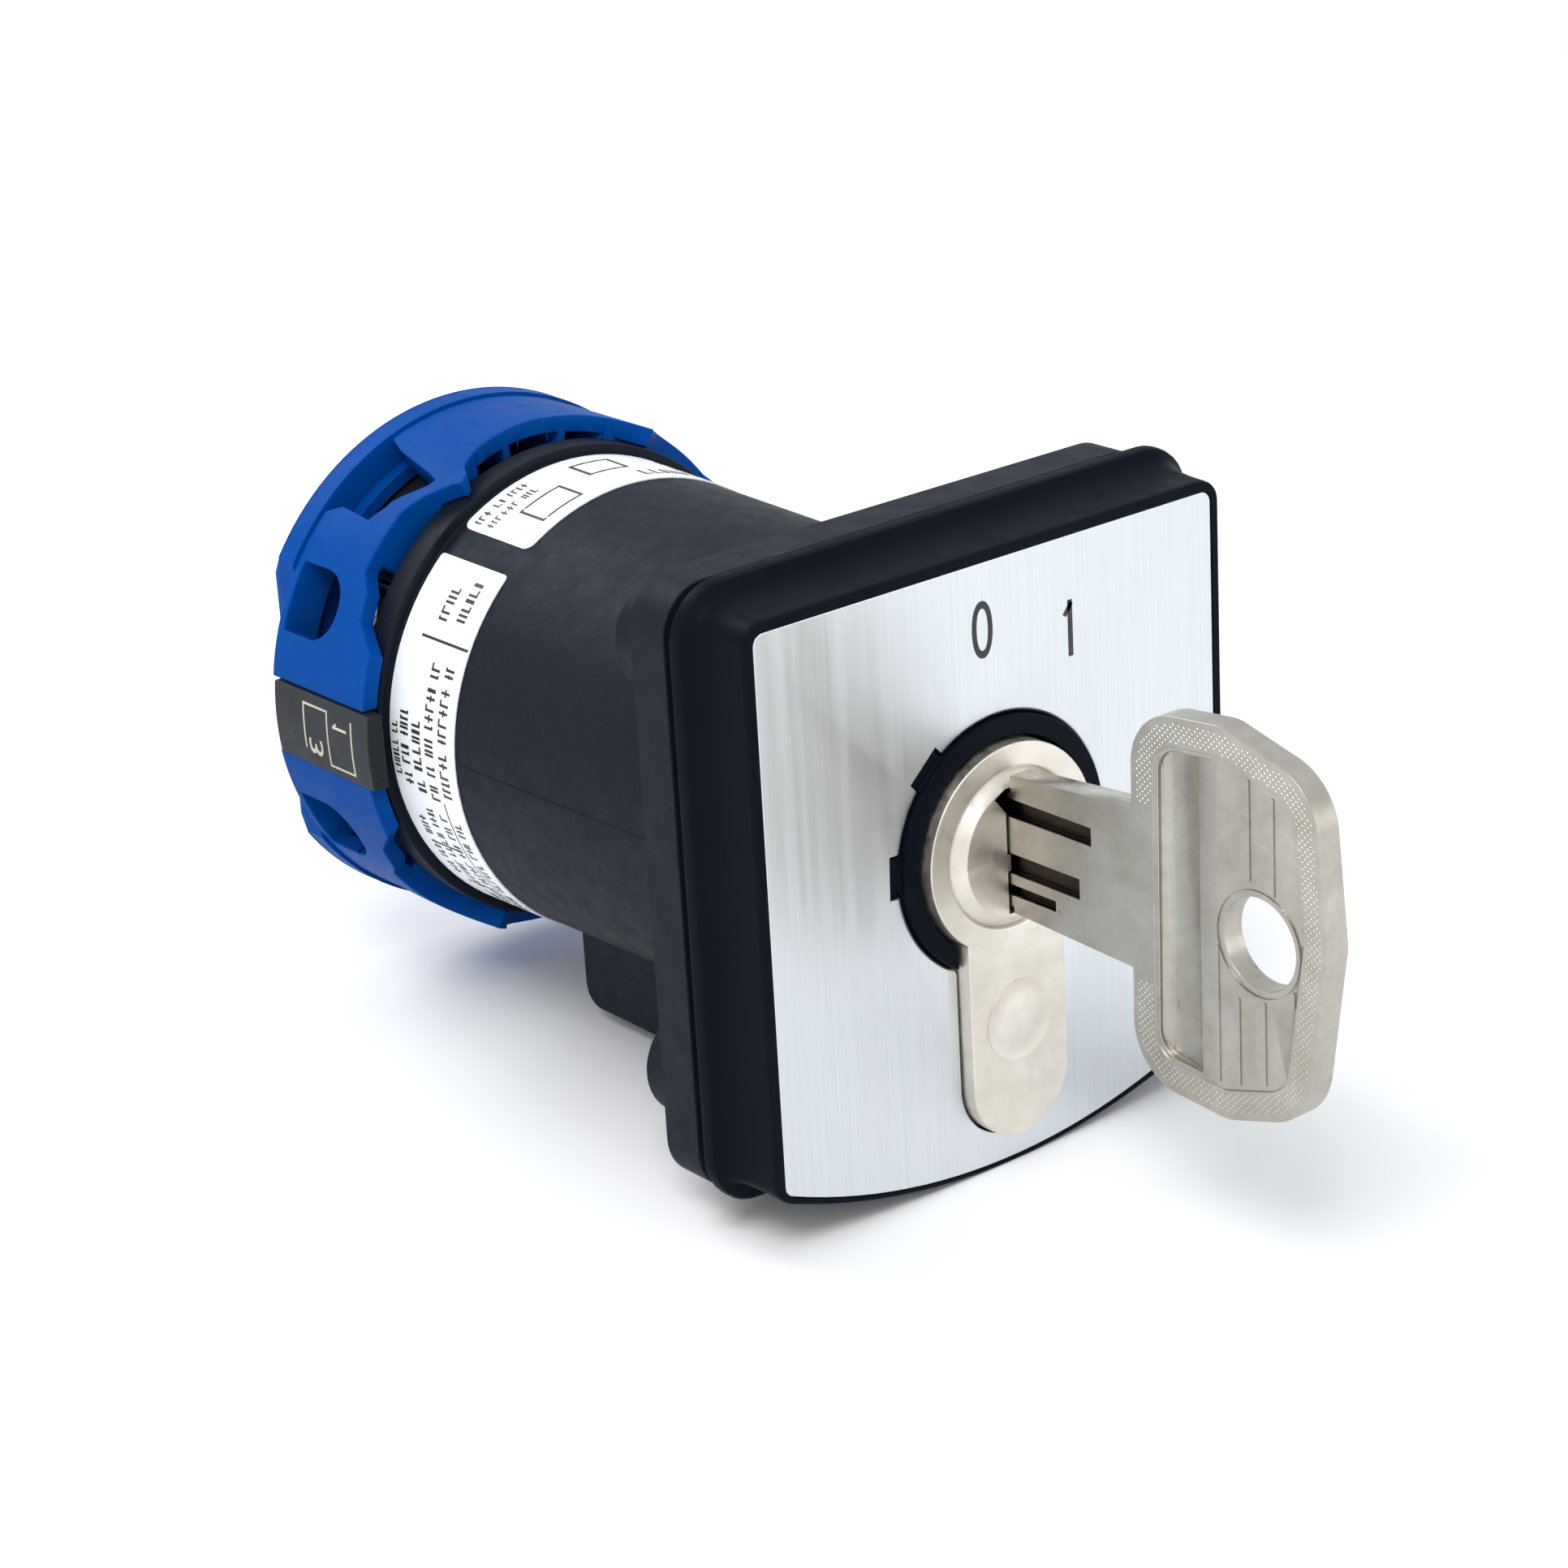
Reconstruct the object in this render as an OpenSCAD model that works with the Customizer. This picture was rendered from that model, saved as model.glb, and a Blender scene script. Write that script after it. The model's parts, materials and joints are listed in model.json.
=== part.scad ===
// Key-operated rotary selector switch for a panel: a half-profile lock cylinder
// turns a cam switch through 30 degrees, from 0 to 1.
// +Y runs into the panel, +Z is up, +X is right as seen from the front.
// The origin is on the lock's axis, at the seat of the mounting plate on the panel.

/* [Face plate and front frame] */
// Width of the brushed face plate
plate_w = 46.6; // [44:0.1:60]
// Top edge of the face plate above the axis
plate_top = 23.1; // [20:0.1:30]
// Lower corners of the face plate below the axis
plate_low = 22.1; // [20:0.1:26]
// Drop of the plate's curved lower edge below its corners
plate_sag = 4.95; // [4:0.05:6]
// Thickness of the face plate
plate_t = 0.8; // [0.5:0.1:1.2]
// Distance from the panel seat to the front of the face plate
front_depth = 8.5; // [8:0.1:12]
// Rim of the frame around the face plate
frame_rim = 0.7; // [0.5:0.1:1.2]
// How far the frame's rear flange stands out beyond the face plate
flange_out = 2.7; // [2:0.1:4]
// Thickness of the rear flange and of the frame's base
flange_t = 2; // [1.5:0.1:2.6]
// Thickness of the sealing gasket
gasket_t = 1.5; // [1:0.1:2]

/* [Panel mounting] */
// Distance between the panel screws, both ways
bolt_pitch = 36; // [34:0.5:40]
// Diameter of the panel screw holes
bolt_hole_d = 4.4; // [4.2:0.1:5.2]
// Side of the square mounting plate behind the panel
mount_w = 50; // [48:0.5:60]
// Thickness of the mounting plate
mount_t = 4; // [3:0.5:6]
// Height of the screw bosses behind the mounting plate
boss_h = 5.5; // [3:0.5:8]

/* [Housing tube] */
// Radius of the tube at the mounting plate
tube_r_front = 19.2; // [18.8:0.1:20.5]
// Radius of the tube at its rear end
tube_r_rear = 20.2; // [19.8:0.1:21]
// Radius of the bore inside the tube
tube_bore_r = 17; // [16.8:0.1:17.4]
// Rear end of the tube behind the panel seat
tube_end = 49; // [48.6:0.1:49.2]
// Wall of the tube's rear rim beyond the tube
rim_out = 1; // [0.6:0.1:1.1]

/* [Lock cylinder] */
// Radius of the round head of the lock cylinder
head_r = 8.5; // [8.5:0.1:8.6]
// Width of the tail of the lock cylinder
tail_w = 10; // [9.6:0.1:10.4]
// Height of the lock cylinder, head and tail
lock_h = 33; // [31:0.5:34]
// How far the lock cylinder stands in front of the face plate
lock_proud = 1.33; // [0.8:0.01:2.5]
// Length of the part of the cylinder that holds the plug
lock_body_l = 30.5; // [30:0.1:31.5]
// Length of the cam behind it
cam_l = 10; // [9.5:0.1:10.2]
// Diameter of the plug
plug_d = 13; // [12.6:0.1:13.2]
// Running clearance between the plug and its bore
plug_clear = 0.05; // [0.02:0.01:0.09]
// Number of pin stacks
pin_count = 5; // [3:1:5]
// Distance between the pin stacks
pin_pitch = 4.1; // [3.8:0.1:4.3]

/* [Key] */
// Thickness of the key
key_t = 2.2; // [1.8:0.1:2.6]
// Distance from the face plate to the far end of the key's bow
key_reach = 35.3; // [34:0.1:40]
// Radius of the key-ring hole
ring_hole_r = 3.6; // [2.5:0.1:4]
// Length of the blade inside the plug
blade_l = 26; // [22:0.5:27]
// Side clearance of the blade in the keyway
key_clear = 0.15; // [0.1:0.01:0.25]

/* [Switching] */
// Angle from 0 to 1
switch_angle = 30; // [30:1:30]
// Travel of the contact plungers over that angle
contact_travel = 2; // [1.6:0.1:2.2]
// Diameter of the silver contact tips
tip_d = 3; // [2:0.1:3.2]
// Side of the square switch shaft
shaft_w = 6; // [5:0.1:6.4]

/* [Rear stage] */
// Radius of the blue terminal cover
cover_r = 23; // [22.8:0.1:23.2]
// Wall of the terminal cover
cover_wall = 1.5; // [1.2:0.1:1.5]
// Front edge of the terminal cover's hoods
hood_y = 50; // [49.6:0.1:51]
// Front edge of the cover at the hoods' lower corners
corner_y = 47.2; // [46.8:0.1:48]
// Front edge of the window blocks, next to the arms
block_y = 50.5; // [50.2:0.1:51]
// Front edge of the window blocks, next to the marking strips
side_y = 46; // [45.6:0.1:47]
// Front face of the rear plate
rear_plate_y = 60.1; // [60.1:0.1:62]
// Thickness of the rear plate
rear_plate_t = 3.1; // [2.6:0.1:4]
// Angle from a window's middle to the side
window_angle = 27; // [26:1:28]
// Width of a terminal window along the axis
window_l = 6.9; // [6:0.1:7]
// Width of the marking strips
strip_w = 6.6; // [6:0.1:7]

/* [Hidden] */
$fn = 96;
eps = 0.01;

// Face plate, frame and gasket
plate_half = plate_w / 2;
plate_corner_r = 1;
plate_y = -front_depth;
frame_half = plate_half + frame_rim;
lower_rim = frame_rim / 2;
flange_half = plate_half + flange_out;
flange_r = 4.5;
gasket_front = -gasket_t;
base_y = gasket_front - flange_t;
frame_hole_r = head_r + 4.7;
frame_hole_half = tail_w / 2 + 2.6;
fit_gap = 0.05;
frame_screw_x = bolt_pitch / 2;
frame_screw_r = 1.4;

// Lock cylinder: the head is round the axis, and the tail hangs below it
tail_half = tail_w / 2;
tail_end = head_r - lock_h;
tail_mid = tail_end + tail_half;
lock_front = plate_y - lock_proud;
lock_body_end = lock_front + lock_body_l;
cam_end = lock_body_end + cam_l;
lock_gap = 0.12;
plug_r = plug_d / 2 - plug_clear;
plug_chamfer = 1;
plug_front = lock_front - 0.7;
neck_r = 4;
bar_top = -16.2;
cylinder_screw_y = lock_body_end + cam_l / 2;
cylinder_screw_z = (tail_end + bar_top) / 2;
cylinder_screw_r = 2.5;

// Pins stand clear of the blade's lower edge, inside the plug's outline
pin_r = 1.35;
pin_hole_r = 1.45;
first_pin = lock_front + 6.3;
pin_places = [for (i = [0 : pin_count - 1]) first_pin + i * pin_pitch];
blade_low = -4.4;
blade_high = 5;
blade_end = lock_front + 0.25 + blade_l;
key_pin_tip = blade_low - 0.15;
key_pin_foot = -(plug_r - 0.2);
driver_pin_top = -(plug_r + 0.3);
driver_pin_end = driver_pin_top - 4.4;
plug_top_z = tail_end + 3.8;
chamber_end = tail_end + 1.1;

// Key outline, with depths counted forwards from the face plate
neck_start = lock_proud + 1;
bow_back = 15.4;
bow_shift = key_reach - 35.3;
ring_hole_depth = 28.5 + bow_shift;
ring_hole_z = 0.3;
keyway_half = key_t / 2 + key_clear;
ward_out = 0.35;
groove_depth = 0.55;
groove_z = [3.85, -0.8, -3];
groove_w = [1.5, 1.7, 0.9];
groove_reach = [11.2, 9.8, 7.1];

// Housing
mount_half = mount_w / 2;
mount_r = 4;
pocket_wall = 2.45;
pocket_half = tail_half + lock_gap + pocket_wall;
pocket_low = tail_end - lock_gap - 1.3;
pocket_end = cam_end + 7.6;
sleeve_r = head_r + 2.2;
bolt_x = 13.8;
bolt_r = 1.75;
bolt_bore_r = 1.9;
nut_y = cam_end - 6;
nut_h = 2.4;
bolt_seat_end = cam_end + 5.6;
rim_start = tube_end - 2.6;

// Drive: the cam's nose sits in the driver's fork
cam_disc_r = 8.3;
nose_r = 12.2;
nose_half = 3.6;
fork_gap = 0.15;
driver_r = 10.3;
driver_y = cam_end + 1.1;
driver_t = 3.4;
fork_reach = 40;
shaft_start = driver_y + 1;

// Latch
latch_y = driver_y + driver_t + 1.2;
latch_l = 8;
latch_end = latch_y + latch_l;
latch_r = tube_bore_r - 0.2;
latch_wall = 1.5;
star_r = 7.6;
star_notch_r = 1.1;
star_gap = 0.4;
star_count = 360 / switch_angle;
roller_r = 1.6;
slide_half = 2.9;
journal_r = shaft_w * sqrt(2) / 2 + 0.05;
journal_clear = 0.05;

// Contact stage, upper half; the lower half is its mirror image
stage_y = latch_end + 0.3;
stage_end = rear_plate_y - 0.1;
stage_r = 19;
contact_y0 = 52;
contact_y1 = 57;
spiral_rate = contact_travel / switch_angle;
cam_r_open = 7.5;
cam_lead = 15;
nose_pin_r = 1;
nose_pin_gap = 0.25;
follower_z = cam_r_open + nose_pin_r + nose_pin_gap + 0.1;
plunger_half = 2.9;
bridge_z = follower_z + 3.15;
bridge_t = 1;
bridge_half = 9.6;
tip_x = 8.1;
tip_h = 0.8;
tip_gap = 0.1;
fixed_tip_top = bridge_z - tip_h - contact_travel - tip_gap;
fixed_z = fixed_tip_top - tip_h - 1;
spring_coil_r = 2.2;
spring_wire_r = 0.3;
spring_top = 17.6;

// Terminals, on four radial lines
terminal_angles = [90 - window_angle, 90 + window_angle,
    270 - window_angle, 270 + window_angle];
terminal_y = (contact_y0 + contact_y1) / 2 + 1;
clamp_r0 = 15.2;
screw_r = 1.6;
screw_head_r = 2.9;

// Terminal cover
cover_in = cover_r - cover_wall;
hood_angle = 26;
corner_angle = 27;
block_start = 46;
strip_half = strip_w / 2;
window_half = 3.1;
window_y = rear_plate_y - 1 - window_l / 2;
strip_front = 44.8;
strip_out = 0.3;
strip_end = rear_plate_y - 0.8;
rear_plate_half = stage_r + 0.5;

// Labels
label_y0 = 36.8;
label_y1 = rim_start - 0.5;
label_t = 0.12;
label_gap = 0.02;

// A prism of a front-view outline between two depths
module prism(y0, y1) {
    translate([0, y1, 0]) rotate([90, 0, 0]) linear_extrude(height = y1 - y0) children();
}

// A rod along the axis between two depths
module rod(r, y0, y1) {
    translate([0, y0, 0]) rotate([-90, 0, 0]) cylinder(r = r, h = y1 - y0);
}

// A cone along the axis
module cone(r0, r1, y0, y1) {
    translate([0, y0, 0]) rotate([-90, 0, 0]) cylinder(r1 = r0, r2 = r1, h = y1 - y0);
}

// A box between two corners
module block(low, high) {
    translate(low) cube(high - low);
}

// Puts a piece that lies along +X, beside the axis, on a clock angle
module clock(a) {
    rotate([0, a - 90, 0]) children();
}

// Front-view outline: a square with round corners
module round_square(half, r) {
    square([2 * half, 2 * (half - r)], center = true);
    square([2 * (half - r), 2 * half], center = true);
    for (x = [-1, 1], z = [-1, 1]) translate([x * (half - r), z * (half - r)]) circle(r);
}

// An upright rectangle with rounded corners
module round_box(half, low, high, r) {
    translate([-half, low + r]) square([2 * half, high - low - 2 * r]);
    translate([r - half, low]) square([2 * (half - r), high - low]);
    for (x = [-1, 1], z = [low + r, high - r]) translate([x * (half - r), z]) circle(r);
}

// Front-view outline: straight sides, round corners and a lower edge on one arc
module bulged(half, top, low, sag, r) {
    arc_r = (half * half + sag * sag) / (2 * sag);
    arc_mid = arc_r - low - sag;
    in = half - r;
    corner_z = arc_mid - sqrt(pow(arc_r - r, 2) - in * in);
    tangent_x = in * arc_r / (arc_r - r);
    translate([-half, corner_z]) square([2 * half, top - r - corner_z]);
    translate([-in, corner_z]) square([2 * in, top - corner_z]);
    for (x = [-1, 1], z = [corner_z, top - r]) translate([x * in, z]) circle(r);
    intersection() {
        translate([0, arc_mid]) circle(arc_r, $fn = 360);
        translate([-tangent_x, -low - 2 * sag]) square([2 * tangent_x, corner_z + low + 2 * sag]);
    }
}

// Front-view outline of the lock cylinder, grown by a gap
module lock_outline(grow) {
    circle(head_r + grow);
    translate([-tail_half - grow, tail_mid]) square([tail_w + 2 * grow, -tail_mid]);
    translate([0, tail_mid]) circle(tail_half + grow);
}

// A curved wall round the axis: two radii, two depths and two clock angles
module arc_wall(r0, r1, y0, y1, a0, a1) {
    rotate([-90, 0, 0]) rotate_extrude(start = a0 - 90, angle = a1 - a0)
        polygon([[r0, y0], [r1, y0], [r1, y1], [r0, y1]]);
}

// The four panel screw positions
module at_panel_screws() {
    for (x = [-1, 1], z = [-1, 1]) translate([x, 0, z] * bolt_pitch / 2) children();
}

// A coil spring along +Z that starts at the origin
module coil(r, wire, turns, length, sides = 5, per_turn = 12) {
    rings = turns * per_turn;
    points = [for (i = [0 : rings], j = [0 : sides - 1])
        let (a = 360 * i / per_turn, b = 360 * j / sides, out = r + wire * cos(b))
        [out * cos(a), out * sin(a), wire + (length - 2 * wire) * i / rings + wire * sin(b)]];
    sides_faces = [for (i = [0 : rings - 1], j = [0 : sides - 1])
        let (k = (j + 1) % sides)
        [i * sides + j, (i + 1) * sides + j, (i + 1) * sides + k, i * sides + k]];
    first = [[for (j = [0 : sides - 1]) j]];
    last = [[for (j = [sides - 1 : -1 : 0]) rings * sides + j]];
    polyhedron(points, concat(sides_faces, first, last));
}

// ---- Front ----

module face_plate() {
    notch_angles = [-88, -42];
    color("silver") difference() {
        prism(plate_y, plate_y + plate_t)
            bulged(plate_half, plate_top, plate_low, plate_sag, plate_corner_r);
        rod(head_r + 2, plate_y - 1, plate_y + plate_t + 1);
        prism(plate_y - 1, plate_y + plate_t + 1) lock_outline(0.2);
        for (a = notch_angles) clock(a)
            block([head_r + 1.6, plate_y - 1, -1.75], [head_r + 2.95, plate_y + plate_t + 1, 1.75]);
    }
}

module front_frame() {
    step_y = plate_y + 3.4;
    color([0.07, 0.075, 0.085]) difference() {
        union() {
            prism(plate_y, step_y + eps) bulged(frame_half, plate_top + frame_rim,
                plate_low + lower_rim, plate_sag, plate_corner_r + frame_rim);
            prism(step_y, gasket_front) bulged((frame_half + flange_half) / 2,
                plate_top + (frame_rim + flange_out) / 2,
                plate_low + lower_rim - 0.15, plate_sag, 2.6);
            prism(base_y, gasket_front) round_box(flange_half, -plate_low - flange_out,
                plate_top + flange_out, flange_r);
        }
        prism(plate_y - 1, plate_y + plate_t) bulged(plate_half + fit_gap, plate_top + fit_gap,
            plate_low + fit_gap, plate_sag, plate_corner_r);
        prism(plate_y + plate_t - eps, base_y) bulged(plate_half - 1, plate_top - 1,
            plate_low - 1, plate_sag, plate_corner_r);
        prism(base_y - 1, 1) {
            circle(frame_hole_r);
            translate([-frame_hole_half, tail_end - 0.6])
                square([2 * frame_hole_half, -tail_end]);
        }
        at_panel_screws() rod(bolt_hole_d / 2, base_y - 1, 1);
        for (x = [-1, 1]) translate([x * frame_screw_x, 0, 0])
            rod(frame_screw_r + 0.15, base_y - 1, 1);
    }
}

module frame_screws() {
    color([0.75, 0.75, 0.76]) for (x = [-1, 1]) translate([x * frame_screw_x, 0, 0])
        difference() {
            union() {
                rod(2.6, base_y - 1.7, base_y - 0.02);
                rod(frame_screw_r, base_y - 0.03, mount_t - 0.6);
            }
            block([-2, base_y - 2, -0.3], [2, base_y - 1, 0.3]);
        }
}

module panel_gasket() {
    color([0.12, 0.12, 0.13]) difference() {
        prism(gasket_front + 0.02, -0.02) round_square(mount_half - 0.6, mount_r - 0.6);
        prism(-5, 1) {
            circle(frame_hole_r);
            translate([-frame_hole_half, tail_end - lock_gap])
                square([2 * frame_hole_half, -tail_end]);
        }
        at_panel_screws() rod(bolt_hole_d / 2, -5, 1);
        for (x = [-1, 1]) translate([x * frame_screw_x, 0, 0]) rod(frame_screw_r + 0.15, -5, 1);
    }
}

// A split collar that grips the round head, with claws behind the face plate
module lock_collar() {
    collar_in = head_r + 0.3;
    collar_out = head_r + 1.9;
    claw_angles = [-88, -42];
    color([0.05, 0.05, 0.055]) difference() {
        union() {
            rod(collar_out, plate_y - 0.5, -0.1);
            for (a = claw_angles) clock(a)
                block([head_r + 1, plate_y + 0.2, -1.6], [head_r + 2.8, -0.1, 1.6]);
            rod(frame_hole_r - 0.2, base_y, -0.1);
        }
        rod(collar_in, plate_y - 2, 1);
        block([-tail_half - 0.3, plate_y - 2, -20], [tail_half + 0.3, 1, 0]);
    }
}

// ---- Housing ----

module lock_housing() {
    color([0.17, 0.18, 0.19]) difference() {
        union() {
            prism(0, mount_t) round_square(mount_half, mount_r);
            at_panel_screws() rod(4.6, mount_t - eps, mount_t + boss_h);
            difference() {
                union() {
                    cone(tube_r_front, tube_r_rear, mount_t - eps, rim_start + eps);
                    rod(tube_r_rear + rim_out, rim_start, tube_end);
                    block([-pocket_half, mount_t - eps, pocket_low], [pocket_half, pocket_end, 0]);
                }
                rod(tube_bore_r, mount_t + eps, tube_end + 1);
                block([-pocket_half + pocket_wall, mount_t + eps, tail_end - lock_gap],
                    [pocket_half - pocket_wall, pocket_end - 1.6, 0]);
            }
            difference() {
                rod(sleeve_r, mount_t - eps, lock_body_end - 0.3);
                block([-tail_half, 0, -20], [tail_half, lock_body_end, 0]);
            }
            for (x = [-1, 1]) scale([x, 1, 1]) intersection() {
                block([bolt_x - 3, nut_y, -3.2], [tube_bore_r + 1, bolt_seat_end, 3.2]);
                rod(tube_bore_r + 0.5, nut_y, bolt_seat_end);
            }
        }
        prism(-1, lock_body_end + 1) lock_outline(lock_gap);
        at_panel_screws() rod(bolt_hole_d / 2, -1, mount_t + boss_h + 1);
        for (x = [-1, 1]) {
            translate([x * frame_screw_x, 0, 0]) rod(frame_screw_r + 0.05, -1, mount_t - 0.5);
            translate([x * bolt_x, 0, 0]) rod(bolt_bore_r, nut_y - 1, bolt_seat_end + 1);
            translate([x * bolt_x, 0, 0]) rotate([0, 30, 0]) rod(3.3, nut_y - 1, nut_y + nut_h, $fn = 6);
        }
        translate([0, cylinder_screw_y, cylinder_screw_z]) rotate([0, 90, 0]) {
            cylinder(r = cylinder_screw_r + 0.15, h = pocket_half + 1);
            translate([0, 0, pocket_half - 2.2])
                cylinder(r1 = cylinder_screw_r + 0.1, r2 = 4.4, h = 2.21);
        }
    }
}

// ---- Lock cylinder ----

module cylinder_body() {
    color([0.72, 0.69, 0.64]) difference() {
        union() {
            prism(lock_front, lock_body_end) lock_outline(0);
            intersection() {
                prism(lock_body_end - eps, cam_end) lock_outline(0);
                block([-10, 0, tail_end - 1], [10, cam_end + 1, bar_top]);
            }
        }
        rod(plug_d / 2, lock_front - 1, lock_body_end + 1);
        cone(plug_d / 2 + 0.15, plug_d / 2, lock_front - eps, lock_front + 0.15);
        for (y = pin_places) translate([0, y, chamber_end])
            cylinder(r = pin_hole_r, h = -chamber_end - 3);
        translate([-10, cylinder_screw_y, cylinder_screw_z]) rotate([0, 90, 0])
            cylinder(r = cylinder_screw_r + 0.05, h = 20);
    }
}

module cylinder_screw() {
    color([0.6, 0.6, 0.62]) translate([0, cylinder_screw_y, cylinder_screw_z])
        rotate([0, 90, 0]) difference() {
            union() {
                translate([0, 0, -tail_half + 0.4]) cylinder(r = cylinder_screw_r, h = pocket_half + tail_half - 2);
                translate([0, 0, pocket_half - 2.15])
                    cylinder(r1 = cylinder_screw_r, r2 = 4.2, h = 2.1);
            }
            translate([-4.5, -0.5, pocket_half - 0.8]) cube([9, 1, 2]);
        }
}

module driver_pins() {
    color("goldenrod") for (y = pin_places) translate([0, y, driver_pin_end]) {
        cylinder(r = pin_r, h = driver_pin_top - driver_pin_end - 0.3);
        translate([0, 0, driver_pin_top - driver_pin_end - 0.3])
            cylinder(r1 = pin_r, r2 = pin_r - 0.3, h = 0.3);
    }
}

module pin_springs() {
    spring_l = driver_pin_end - plug_top_z - 0.1;
    color("gainsboro") for (y = pin_places) translate([0, y, plug_top_z + 0.05])
        coil(0.95, 0.22, 4, spring_l, 4, 8);
}

module chamber_plugs() {
    color("goldenrod") for (y = pin_places) translate([0, y, chamber_end + 0.05])
        cylinder(r = pin_hole_r - 0.03, h = plug_top_z - chamber_end - 0.1);
}

module lock_plug() {
    plug_end = lock_body_end - 0.1;
    color([0.75, 0.72, 0.67]) difference() {
        union() {
            cone(plug_r - plug_chamfer, plug_r, plug_front, plug_front + plug_chamfer);
            rod(plug_r, plug_front + plug_chamfer - eps, plug_end);
            rod(neck_r, plug_end - eps, cam_end + 0.7);
        }
        difference() {
            block([-keyway_half, plug_front - 1, -5], [keyway_half, blade_end + 1.5, 5.3]);
            for (i = [0, 1]) block(
                [-keyway_half - 1, plug_front - 2, groove_z[i] - groove_w[i] / 2 + key_clear],
                [-keyway_half + ward_out, blade_end + 2,
                    groove_z[i] + groove_w[i] / 2 - key_clear]);
        }
        for (y = pin_places) translate([0, y, -plug_d]) cylinder(r = pin_hole_r, h = plug_d - 4);
        difference() {
            rod(neck_r + 1, cam_end - 0.1, cam_end + 0.5);
            rod(neck_r - 0.5, cam_end - 1, cam_end + 1);
        }
    }
}

module key_pins() {
    color("goldenrod") for (y = pin_places) translate([0, y, key_pin_foot]) {
        cylinder(r = pin_r, h = key_pin_tip - key_pin_foot - 0.8);
        translate([0, 0, key_pin_tip - key_pin_foot - 0.8])
            cylinder(r1 = pin_r, r2 = 0.6, h = 0.8);
    }
}

module lock_cam() {
    color([0.7, 0.7, 0.7]) difference() {
        union() {
            rod(cam_disc_r, lock_body_end + 0.1, cam_end - 0.3);
            block([-nose_half, lock_body_end + 0.1, 0], [nose_half, cam_end - 0.3, nose_r]);
        }
        rod(neck_r + 0.02, lock_body_end - 1, cam_end + 1);
    }
}

module plug_clip() {
    color([0.35, 0.35, 0.37]) difference() {
        rod(neck_r + 1.1, cam_end - 0.08, cam_end + 0.48);
        rod(neck_r - 0.48, cam_end - 1, cam_end + 1);
        block([-2, cam_end - 1, -9], [2, cam_end + 1, 0]);
    }
}

// A flat key: blade, neck and bow cut from one sheet, with milled grooves on one flank
module key() {
    face = plate_y;
    color([0.7, 0.68, 0.62]) difference() {
        union() {
            block([-key_t / 2, face - neck_start - eps, blade_low],
                [key_t / 2, blade_end, blade_high]);
            translate([-key_t / 2, face, 0]) rotate([90, 0, 90]) linear_extrude(height = key_t) {
                polygon([[-neck_start, 6.5], [-bow_back - 3, 7.8], [-bow_back - 3, -5.6],
                    [-neck_start, -4.9]]);
                translate([-bow_shift, 0]) hull() {
                    translate([-20.5, 11]) circle(4.8);
                    translate([-24.5, 12.2]) circle(4);
                    translate([-29.3, 9.7]) circle(5.2);
                    translate([-32.3, 1.5]) circle(3);
                    translate([-28.6, -8.4]) circle(5.2);
                    translate([-24.8, -10.8]) circle(4);
                    translate([-20.2, -9.7]) circle(4.8);
                }
            }
        }
        translate([-key_t, face - ring_hole_depth, ring_hole_z]) rotate([0, 90, 0])
            cylinder(r = ring_hole_r, h = 2 * key_t);
        for (i = [0 : len(groove_z) - 1]) block(
            [-key_t, face - groove_reach[i], groove_z[i] - groove_w[i] / 2],
            [-key_t / 2 + groove_depth, blade_end + 1, groove_z[i] + groove_w[i] / 2]);
        for (i = [0 : pin_count - 1]) translate([-key_t, pin_places[i], blade_low])
            rotate([0, 90, 0]) rotate([0, 0, 45])
                translate([-0.7 - 0.25 * (i * 2 % 5), -0.7 - 0.25 * (i * 2 % 5), 0])
                    cube([1.4 + 0.5 * (i * 2 % 5), 1.4 + 0.5 * (i * 2 % 5), 2 * key_t]);
        translate([-key_t, blade_end, blade_low]) rotate([45, 0, 0])
            cube([2 * key_t, 3, 3], center = false);
    }
}

// ---- Drive and latch ----

module coupling_driver() {
    color([0.85, 0.83, 0.76]) difference() {
        union() {
            rod(driver_r, driver_y, driver_y + driver_t);
            for (side = [-1, 1]) arc_wall(cam_disc_r + 0.5, nose_r, lock_body_end + 1,
                driver_y + driver_t, side > 0 ? 0 : -fork_reach, side > 0 ? fork_reach : 0);
        }
        block([-nose_half - fork_gap, lock_body_end, 0],
            [nose_half + fork_gap, driver_y, nose_r + 2]);
        prism(shaft_start - 0.2, driver_y + driver_t + 1) square(shaft_w + 0.1, center = true);
        rod(neck_r + 1.4, driver_y - 2, driver_y + 0.4);
    }
}

module switch_shaft() {
    color([0.9, 0.9, 0.86]) {
        prism(shaft_start, stage_end - 1) square(shaft_w, center = true);
        rod(journal_r, latch_y - 0.4, latch_y + latch_wall + 0.4);
        rod(shaft_w / 2 - 0.2, stage_end - 1 - eps, rear_plate_y + rear_plate_t - 0.4);
    }
}

module star_wheel() {
    color([0.88, 0.86, 0.8]) difference() {
        rod(star_r, latch_y + latch_wall + 0.6, latch_end - 0.4);
        prism(latch_y, latch_end) square(shaft_w + 0.1, center = true);
        for (i = [0 : star_count - 1]) clock(i * switch_angle)
            translate([star_r + 0.2, 0, 0]) rod(star_notch_r, latch_y, latch_end);
    }
}

module latch_housing() {
    color([0.14, 0.15, 0.16]) difference() {
        rod(latch_r, latch_y, latch_end);
        rod(journal_r + journal_clear, latch_y - 1, latch_end);
        rod(star_r + 0.6, latch_y + latch_wall, latch_end + 1);
        block([-slide_half - 0.1, latch_y + latch_wall, -latch_r + 1.2],
            [slide_half + 0.1, latch_end + 1, latch_r - 1.2]);
        for (x = [-1, 1]) translate([x * bolt_x, 0, 0]) rod(bolt_bore_r, latch_y - 1, latch_end + 1);
    }
}

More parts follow.
